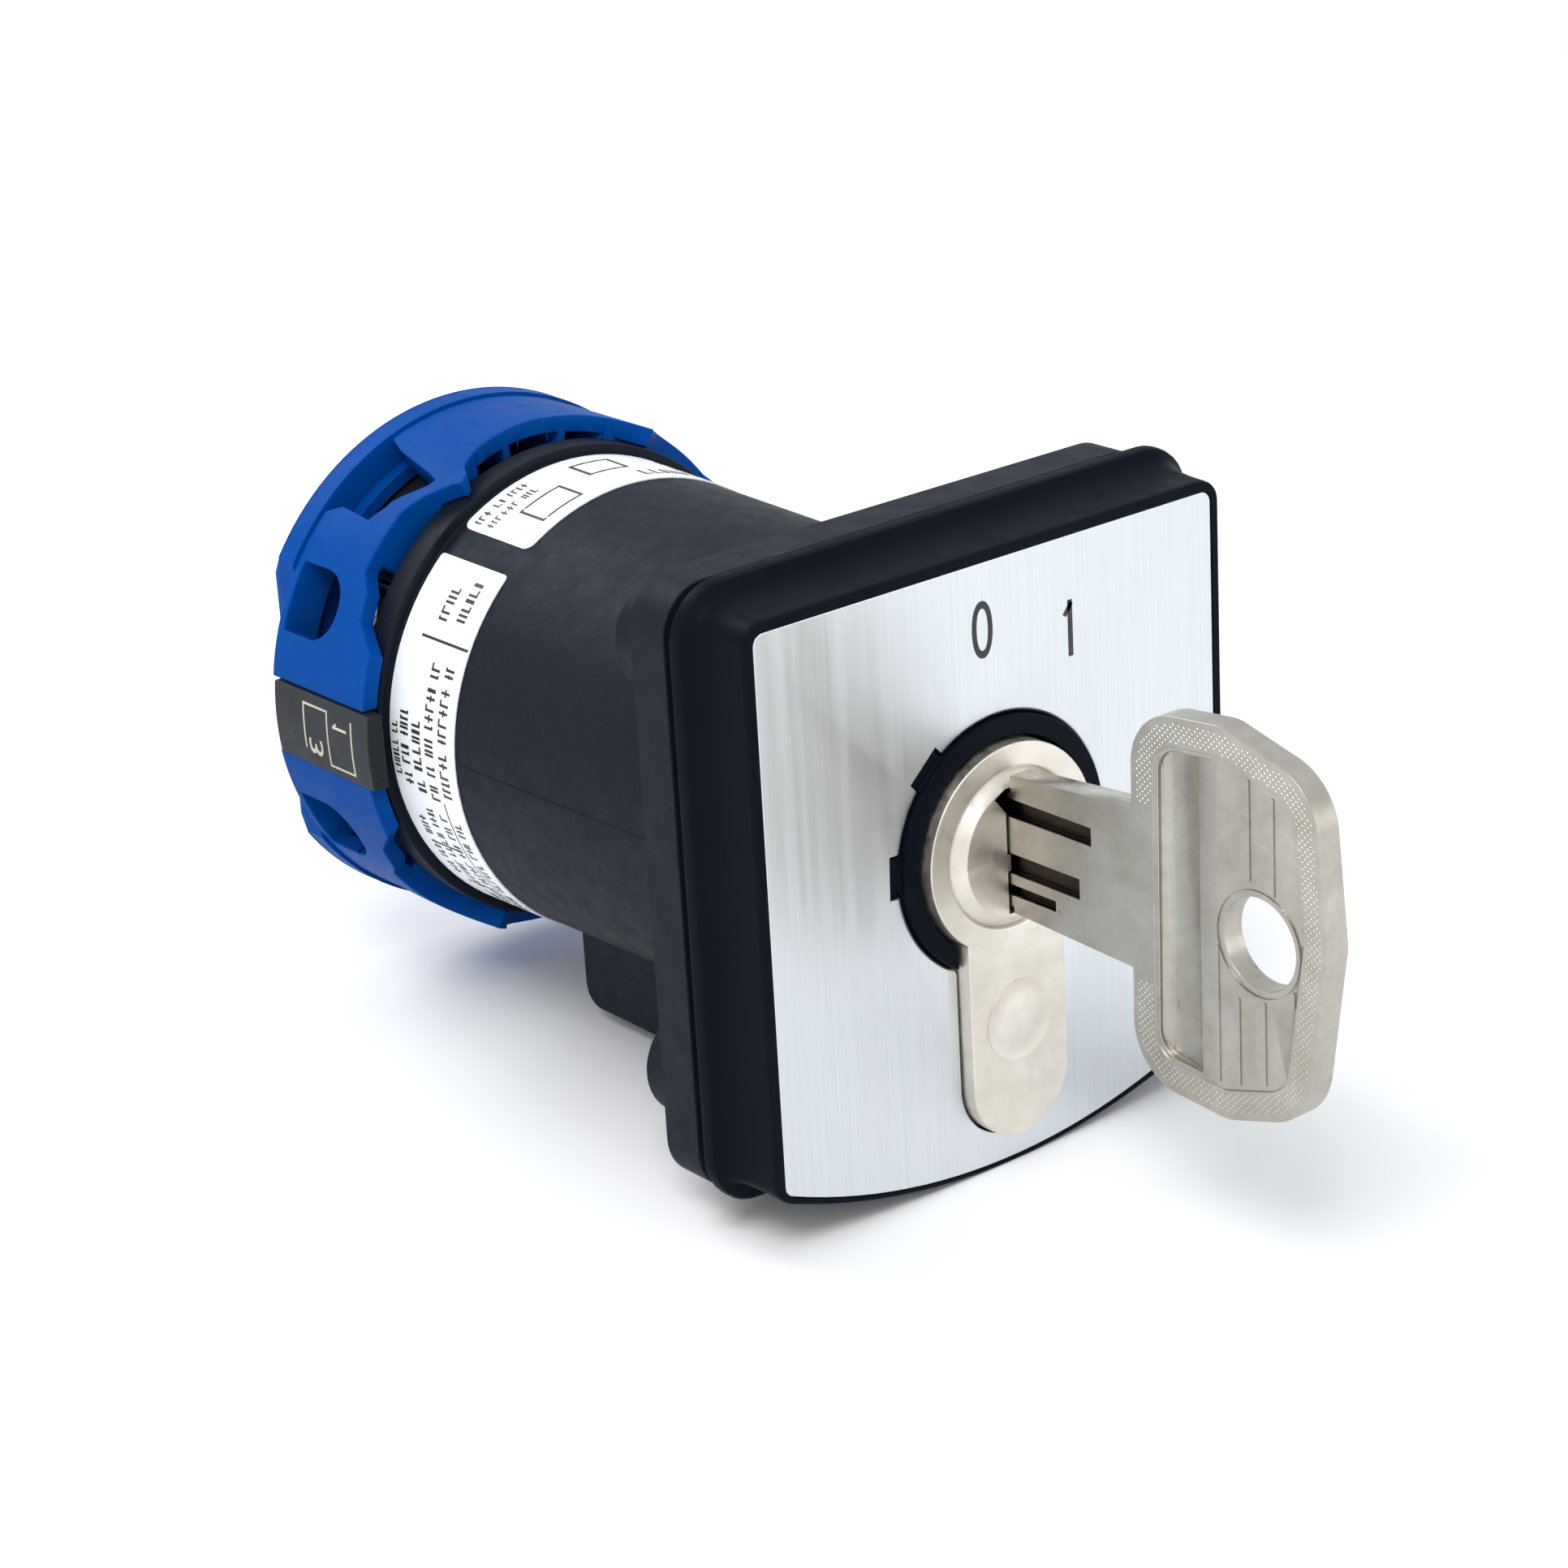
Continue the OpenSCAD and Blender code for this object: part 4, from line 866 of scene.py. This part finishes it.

# %% [markdown]
# ## Painted shade in the milled grooves
# A second nickel, for the key alone, is painted dark where the metal lies deeper than the
# flat of the blade: painted shade in the grooves. Three masks from object coordinates,
# joined by multiplying, keep it inside the grooves.


# %% Key finish
def inside(finish, axis, low, high, soft):
    """1 between two places along one axis, 0 outside, in mm."""
    split = finish.tree.nodes.new("ShaderNodeSeparateXYZ")
    finish.tree.links.new(finish.place, split.inputs["Vector"])
    value = split.outputs[axis]
    rising = finish.spread(value, 0, 1, (low - soft) * MM, low * MM)
    falling = finish.spread(value, 1, 0, high * MM, (high + soft) * MM)
    return finish.times(rising, falling)


def grooved_nickel():
    finish = Finish("grooved nickel", metallic=1.0)
    clouds = finish.noise(240, 5, 0.7)
    base = finish.ramp(clouds, [(0.3, (0.38, 0.35, 0.3)), (0.7, (0.5, 0.475, 0.43))])
    marks = finish.spread(finish.noise(700, 6, 0.75, twist=0.6), 0, 0.85, 0.64, 0.76)
    stained = finish.mix(marks, base, (0.13, 0.085, 0.05))
    sunk = inside(finish, "X", -KEY_HALF + 0.3, KEY_HALF - 0.3, 0.12)
    band = inside(finish, "Z", -3.6, 4.7, 0.1)
    along = inside(finish, "Y", PLATE_FRONT - 11.4, 40, 0.8)
    # The dark colour mixed in by these masks is painted shade in the milled grooves, not dirt.
    painted_groove_shade = finish.times(finish.times(sunk, band), along)
    finish.colour(finish.mix(painted_groove_shade, stained, (0.035, 0.027, 0.022)))
    finish.roughness(finish.spread(finish.noise(900, 5, 0.7), 0.24, 0.42))
    finish.bump(finish.noise(1.0, 3, 0.7, finish.stretched((700, 3500, 900))), 0.25, 0.01)
    finish.bump(finish.noise(1300, 3, 0.6), 0.25, 0.012)
    return finish.material


bpy.data.objects["key_stamped"].data.materials[0] = grooved_nickel()

# %% [markdown]
# ## Ridges and knurl on the bow
# Upright ridges and a ring round the hole stand on the panel, and the border is knurled
# with hundreds of tiny pyramids. Each pyramid is a four-sided cone with few faces.


# %% Ridges
def make_ridges():
    """Thin raised lines on both panels, cut short at the border and at the hole."""
    bm = bmesh.new()
    fits = inside_bow(PANEL_IN - 0.25)
    ring_y, ring_z, ring_r = RING_HOLE
    height = 0.1
    lines = ((-24.3, -20, 20), (-27.6, 5.0, 20), (-30.0, 4.4, 20), (-26.4, -20, -4.6),
             (-29.0, -20, -4.2), (-31.9, -7.5, 7.0))
    step = 0.2
    for side in (-1, 1):
        floor = side * (KEY_HALF - PANEL_DEEP)
        top = floor + side * height
        for along, low, high in lines:
            y = PLATE_FRONT + along
            z = low
            run = []
            while z < high:
                clear = math.hypot(y - ring_y, z - ring_z) > ring_r + 0.75
                if fits(y, z) and clear:
                    run.append(z)
                elif run:
                    break
                z += step
            if len(run) > 4:
                add_to(bm, box((min(floor - side * 0.02, top), y - 0.11, run[0]),
                               (max(floor - side * 0.02, top), y + 0.11, run[-1])))
        ring = bmesh.new()
        start = bmesh.ops.create_circle(ring, segments=4, radius=0.12 * MM)
        bmesh.ops.translate(ring, verts=start["verts"],
                            vec=Vector((0, ring_r + 0.55, 0)) * MM)
        bmesh.ops.rotate(ring, verts=ring.verts, matrix=Matrix.Rotation(math.radians(90), 3, "Y"),
                         cent=Vector((0, ring_r + 0.55, 0)) * MM)
        bmesh.ops.rotate(ring, verts=ring.verts, matrix=Matrix.Rotation(math.radians(90), 3, "Z"),
                         cent=Vector((0, ring_r + 0.55, 0)) * MM)
        bmesh.ops.spin(ring, geom=ring.verts[:] + ring.edges[:], cent=(0, 0, 0), axis=(1, 0, 0),
                       angle=math.radians(360), steps=72, use_merge=True)
        bmesh.ops.remove_doubles(ring, verts=ring.verts, dist=0.002 * MM)
        bmesh.ops.recalc_face_normals(ring, faces=ring.faces)
        bmesh.ops.translate(ring, verts=ring.verts, vec=Vector((floor, ring_y, ring_z)) * MM)
        add_to(bm, ring)
    piece = new_object("key_ridges", bm)
    finish_piece(piece, "key", MATERIALS["nickel"], hides=False)
    print("ridges:", len(piece.data.polygons), "faces")


make_ridges()


# %% Knurled border
def make_knurl():
    """Rows of small pyramids between the bow's edge and its panel."""
    outer = inside_bow(-0.55)
    inner = inside_bow(PANEL_IN + 0.3)
    pitch = 0.46
    spots = []
    rows = int(40 / pitch)
    for i in range(-rows, rows):
        for j in range(-rows, rows):
            if (i + j) % 2:
                continue
            y = PLATE_FRONT - 26 + i * pitch / 2 * 1.2
            z = j * pitch / 2 * 1.2
            on_neck = y > PLATE_FRONT - 20.5 and -6.2 < z < 8.2
            if outer(y, z) and not inner(y, z) and not on_neck:
                spots.append((y, z))
    tooth = bmesh.new()
    bmesh.ops.create_cone(tooth, cap_ends=True, segments=4, radius1=0.2 * MM,
                          radius2=0.06 * MM, depth=0.1 * MM)
    mesh = bpy.data.meshes.new("tooth")
    tooth.to_mesh(mesh)
    tooth.free()
    bm = bmesh.new()
    for side in (-1, 1):
        for y, z in spots:
            known = len(bm.verts)
            bm.from_mesh(mesh)
            bm.verts.ensure_lookup_table()
            fresh = bm.verts[known:]
            bmesh.ops.rotate(bm, verts=fresh,
                             matrix=Matrix.Rotation(math.radians(90 * side), 3, "Y"))
            bmesh.ops.translate(bm, verts=fresh, vec=Vector(
                (side * (KEY_HALF + 0.005), y, z)) * MM)
    piece = new_object("key_knurl", bm)
    finish_piece(piece, "key", MATERIALS["nickel"], hides=False)
    print("knurl:", 2 * len(spots), "pyramids")


make_knurl()

# %% [markdown]
# ## Labels on the tube
# A label is a flat sheet with round corners that is wrapped on the tube. It is modelled
# flat, with x as the distance round the tube and y along it, cut into narrow strips, and
# then bent onto the tube's slight cone. Its print is wrapped in the same way. The print
# stands for text: rows of small strokes that spell nothing.

# %% Wrapping on the tube
TUBE_FRONT_R, TUBE_REAR_R = 19.2, 20.2
TUBE_START, TUBE_STOP = 4.0, 46.4
WRAP_R = 19.85
LABEL_Y0, LABEL_Y1 = 36.8, 45.9
LABEL_TOP = 0.14


def tube_radius(y):
    """The tube's radius at a depth, in mm."""
    return TUBE_FRONT_R + (TUBE_REAR_R - TUBE_FRONT_R) * (y - TUBE_START) / (
        TUBE_STOP - TUBE_START)


def wrap_on_tube(bm):
    """Bends flat work (x round the tube, y along it, z outwards, in metres) on the tube."""
    for vert in bm.verts:
        turn = vert.co.x / (WRAP_R * MM)
        radius = tube_radius(vert.co.y / MM) * MM + vert.co.z
        vert.co = Vector((radius * math.sin(turn), vert.co.y, radius * math.cos(turn)))
    bmesh.ops.recalc_face_normals(bm, faces=bm.faces)


def flat_sheet(x0, x1, y0, y1, z0, z1, corner=0.0, across=100.0):
    """A thin flat sheet with round corners, cut across so that it can bend."""
    bm = bmesh.new()
    bmesh.ops.create_grid(bm, x_segments=1, y_segments=1, size=0.5)
    bmesh.ops.scale(bm, verts=bm.verts, vec=((x1 - x0) * MM, (y1 - y0) * MM, 1))
    bmesh.ops.translate(bm, verts=bm.verts,
                        vec=Vector(((x0 + x1) / 2, (y0 + y1) / 2, z0)) * MM)
    if corner:
        bmesh.ops.bevel(bm, geom=bm.verts[:], offset=corner * MM, offset_type="OFFSET",
                        segments=6, profile=0.5, affect="VERTICES", material=-1)
    for axis, start, stop in ((0, x0, x1), (1, y0, y1)):
        cuts = int((stop - start) / (1.2 if axis == 0 else across))
        normal = Vector((axis == 0, axis == 1, 0))
        for i in range(1, cuts):
            place = normal * (start + (stop - start) * i / cuts) * MM
            bmesh.ops.bisect_plane(bm, geom=bm.verts[:] + bm.edges[:] + bm.faces[:],
                                   plane_co=place, plane_no=normal)
    made = bmesh.ops.extrude_face_region(bm, geom=bm.faces[:], use_keep_orig=True)
    verts = [g for g in made["geom"] if isinstance(g, bmesh.types.BMVert)]
    bmesh.ops.translate(bm, verts=verts, vec=(0, 0, (z1 - z0) * MM))
    bmesh.ops.recalc_face_normals(bm, faces=bm.faces)
    return bm


# %% Rows of strokes
INK_LOW, INK_TOP = LABEL_TOP - 0.01, LABEL_TOP + 0.012


def stroke_row(bm, x0, x1, y, height, dice):
    """Words made of short upright strokes and dashes along one row."""
    x = x0
    while x < x1 - height:
        for _ in range(dice.randint(2, 6)):
            wide = height * dice.choice((0.3, 0.5, 0.6))
            if x + wide > x1:
                break
            kind = dice.randint(0, 3)
            thin = height * 0.2
            if kind == 0:
                parts = [(x, x + thin, 0, 1), (x + thin, x + wide, 0.82, 1)]
            elif kind == 1:
                parts = [(x, x + thin, 0, 1), (x + thin, x + wide, 0, 0.18)]
            elif kind == 2:
                parts = [(x, x + wide, 0.4, 0.58), (x + wide / 2 - thin / 2,
                                                    x + wide / 2 + thin / 2, 0, 1)]
            else:
                parts = [(x, x + thin, 0, 1), (x + wide - thin, x + wide, 0, 1)]
            for a, b, low, high in parts:
                add_to(bm, flat_sheet(a, b, y + low * height, y + high * height,
                                      INK_LOW, INK_TOP))
            x += wide + height * 0.2
        x += height * 0.55


# %% The two labels
def arc_mm(degrees):
    """Distance round the tube for a clock angle."""
    return math.radians(degrees) * WRAP_R


def make_label(node, first, last, corner, rows, rules, dice):
    """A label with round corners, and its print as a second piece."""
    sheet = flat_sheet(arc_mm(first), arc_mm(last), LABEL_Y0, LABEL_Y1, 0.02, LABEL_TOP, corner)
    wrap_on_tube(sheet)
    label = new_object(node + "_film", sheet)
    smooth_by_angle(label)
    finish_piece(label, node, MATERIALS["label_film"])
    ink = bmesh.new()
    for a0, a1, y, height in rows:
        stroke_row(ink, arc_mm(a0), arc_mm(a1), y, height, dice)
    for a0, a1, y0, y1 in rules:
        add_to(ink, flat_sheet(arc_mm(a0), arc_mm(a1), y0, y1, INK_LOW, INK_TOP))
    wrap_on_tube(ink)
    print_piece = new_object(node + "_print", ink)
    finish_piece(print_piece, node, ink_black, hides=False)
    print(node, "print faces:", len(print_piece.data.polygons))


dice = random.Random(11)
side_rows = [
    (-55.5, -44.5, 38.7, 1.15), (-56.5, -43.5, 41.0, 1.15),
    (-99, -64, 37.9, 1.15), (-101, -65, 39.8, 1.15), (-100, -80, 41.6, 1.15),
    (-99, -79, 43.3, 1.1), (-97, -82, 44.8, 0.8),
    (-147, -104, 37.9, 0.95), (-147, -104, 39.8, 0.95), (-147, -104, 41.6, 0.95),
    (-128, -104, 43.3, 0.95),
]
side_rules = [(-61.6, -60.9, 37.0, 43.4), (-147, -101, 39.25, 39.4),
              (-116.6, -116, 40, 43.6), (-131.6, -131, 40, 43.6)]
make_label("side_label", -150, -41, 0.35, side_rows, side_rules, dice)
top_rows = [
    (-31, -13, 42.6, 0.85), (-31, -11, 44.2, 0.85), (8, 30, 38.2, 1.5),
    (34, 58, 38.2, 1.5), (24, 58, 41.2, 1.1), (24, 58, 43.6, 1.1),
]
top_rules = [(-24, -11, 38.2, 38.45), (-24, -11, 41.35, 41.6), (-24, -23.2, 38.2, 41.6),
             (-11.8, -11, 38.2, 41.6), (-3, 9, 41.0, 41.3), (-3, 9, 43.9, 44.2),
             (-3, -2, 41.0, 44.2), (8, 9, 41.0, 44.2)]
make_label("top_label", -33, 62, 0.9, top_rows, top_rules, dice)


# %% Mould lines
def make_mould_lines():
    """The fine line along each side where the two halves of the mould met."""
    bm = bmesh.new()
    for middle in (-89, 89):
        add_to(bm, flat_sheet(arc_mm(middle) - 0.11, arc_mm(middle) + 0.11, 4.2, 36.6,
                              -0.1, 0.045))
    wrap_on_tube(bm)
    piece = new_object("housing_mould_lines", bm)
    finish_piece(piece, "lock_housing", MATERIALS["housing_black"], hides=False)


make_mould_lines()

# %% [markdown]
# ## The marking strip's diagram
# The black strip at the side carries the contact diagram in cream: two bracket shapes
# that share a line, and the contact numbers 1 and 3. The marks are thin sheets wrapped
# on the strip's curved face.

# %% Strip marks
strip_low, strip_high = (Vector(c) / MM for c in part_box("right_marking_strip"))
STRIP_R = strip_high.x
STRIP_MARK = 0.02


def wrap_on_strip(bm, side):
    """Puts flat work (x along the strip's depth, y upwards) on a strip's face."""
    for vert in bm.verts:
        up, out = vert.co.y, vert.co.z
        radius = STRIP_R * MM + out
        turn = up / (STRIP_R * MM)
        vert.co = Vector((side * radius * math.cos(turn), vert.co.x, radius * math.sin(turn)))
    bmesh.ops.recalc_face_normals(bm, faces=bm.faces)


def make_strip_marks(side, node):
    bm = bmesh.new()
    line = 0.2
    lines = [((47.4, -2.5), (47.4, 2.2)), ((47.4, -2.5), (51.1, -2.5)),
             ((51.1, -2.5), (51.1, 2.4)), ((51.1, 2.4), (54.7, 2.4)), ((54.7, -1.6), (54.7, 2.4))]
    for (y0, z0), (y1, z1) in lines:
        add_to(bm, flat_sheet(y0 - line / 2, y1 + line / 2, z0 - line / 2, z1 + line / 2,
                              -0.01, STRIP_MARK, across=0.8))
    for shape, y, z in ((one(0.75, 2.1, 0.24), 49.2, 1.5),
                        (rounded_number("3", 1.5, 2.1), 53.1, -1.3)):
        bmesh.ops.rotate(shape, verts=shape.verts,
                         matrix=Matrix.Rotation(math.radians(-90), 3, "X"))
        bmesh.ops.rotate(shape, verts=shape.verts,
                         matrix=Matrix.Rotation(math.radians(-90), 3, "Z"))
        bmesh.ops.translate(shape, verts=shape.verts, vec=Vector((y, z, STRIP_MARK / 2)) * MM)
        add_to(bm, shape)
    wrap_on_strip(bm, side)
    piece = new_object(node + "_marks", bm)
    finish_piece(piece, node, ink_cream, hides=False)


make_strip_marks(-1, "left_marking_strip")
make_strip_marks(1, "right_marking_strip")
print("strip radius", round(STRIP_R, 2))

# %% [markdown]
# ## Floor and light
# The object stands on a plain white floor. A bright sky gives the soft light of a studio
# tent, a large lamp above the left shoulder shapes the metal, and a smaller one behind
# draws the tube's upper edge.


# %% Floor
def make_floor():
    bm = bmesh.new()
    bmesh.ops.create_grid(bm, x_segments=1, y_segments=1, size=6)
    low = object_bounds()[0][2] - 0.05 * MM
    bmesh.ops.translate(bm, verts=bm.verts, vec=(0, 0, low))
    floor = new_object("floor", bm)
    finish = Finish("floor paper")
    finish.colour(finish.ramp(finish.noise(3, 2, 0.5),
                              [(0.3, (0.86, 0.87, 0.88)), (0.7, (0.88, 0.88, 0.89))]))
    finish.roughness(finish.spread(finish.noise(5, 2, 0.5), 0.7, 0.8))
    floor.data.materials.append(finish.material)
    floor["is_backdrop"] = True


make_floor()


# %% Light
def aim_lamp(name, place, target, size, power, colour=(1, 1, 1)):
    lamp = bpy.data.lights.new(name, "AREA")
    lamp.size = size
    lamp.energy = power
    lamp.color = colour
    holder = bpy.data.objects.new(name, lamp)
    holder.location = place
    holder.rotation_euler = (Vector(target) - Vector(place)).to_track_quat("-Z", "Y").to_euler()
    scene.collection.objects.link(holder)


def make_light():
    scene.view_settings.view_transform = "Standard"
    world = bpy.data.worlds.new("studio tent")
    scene.world = world
    world.use_nodes = True
    sky = world.node_tree.nodes["Background"]
    sky.inputs["Color"].default_value = (0.95, 0.98, 1.0, 1)
    sky.inputs["Strength"].default_value = 0.95
    aim_lamp("left lamp", (-0.35, -0.25, 0.55), (0, 0.02, 0), 0.3, 2.2)
    aim_lamp("rear lamp", (-0.1, 0.5, 0.45), (0, 0.03, 0), 0.3, 1.6)
    aim_lamp("front lamp", (0.3, -0.6, 0.1), (0, 0, 0), 0.3, 0.6)


make_light()
print("lamps: 3")

# %% Sizes and finish
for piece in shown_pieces():
    if piece.name in frame["nodes"]:
        continue
    graph = bpy.context.evaluated_depsgraph_get()
    corners = [Vector(c) for c in piece.evaluated_get(graph).bound_box]
    node = piece.name
    for known in body_of_node:
        if piece.name.startswith(known):
            node = known
    if node in body_of_node:
        low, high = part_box(node)
        out = max(max((Vector(low)[i] - c[i]), (c[i] - Vector(high)[i])) for c in corners for i in range(3))
        if out > 0.0001:
            print("OUT", piece.name, round(out * 1000, 2))
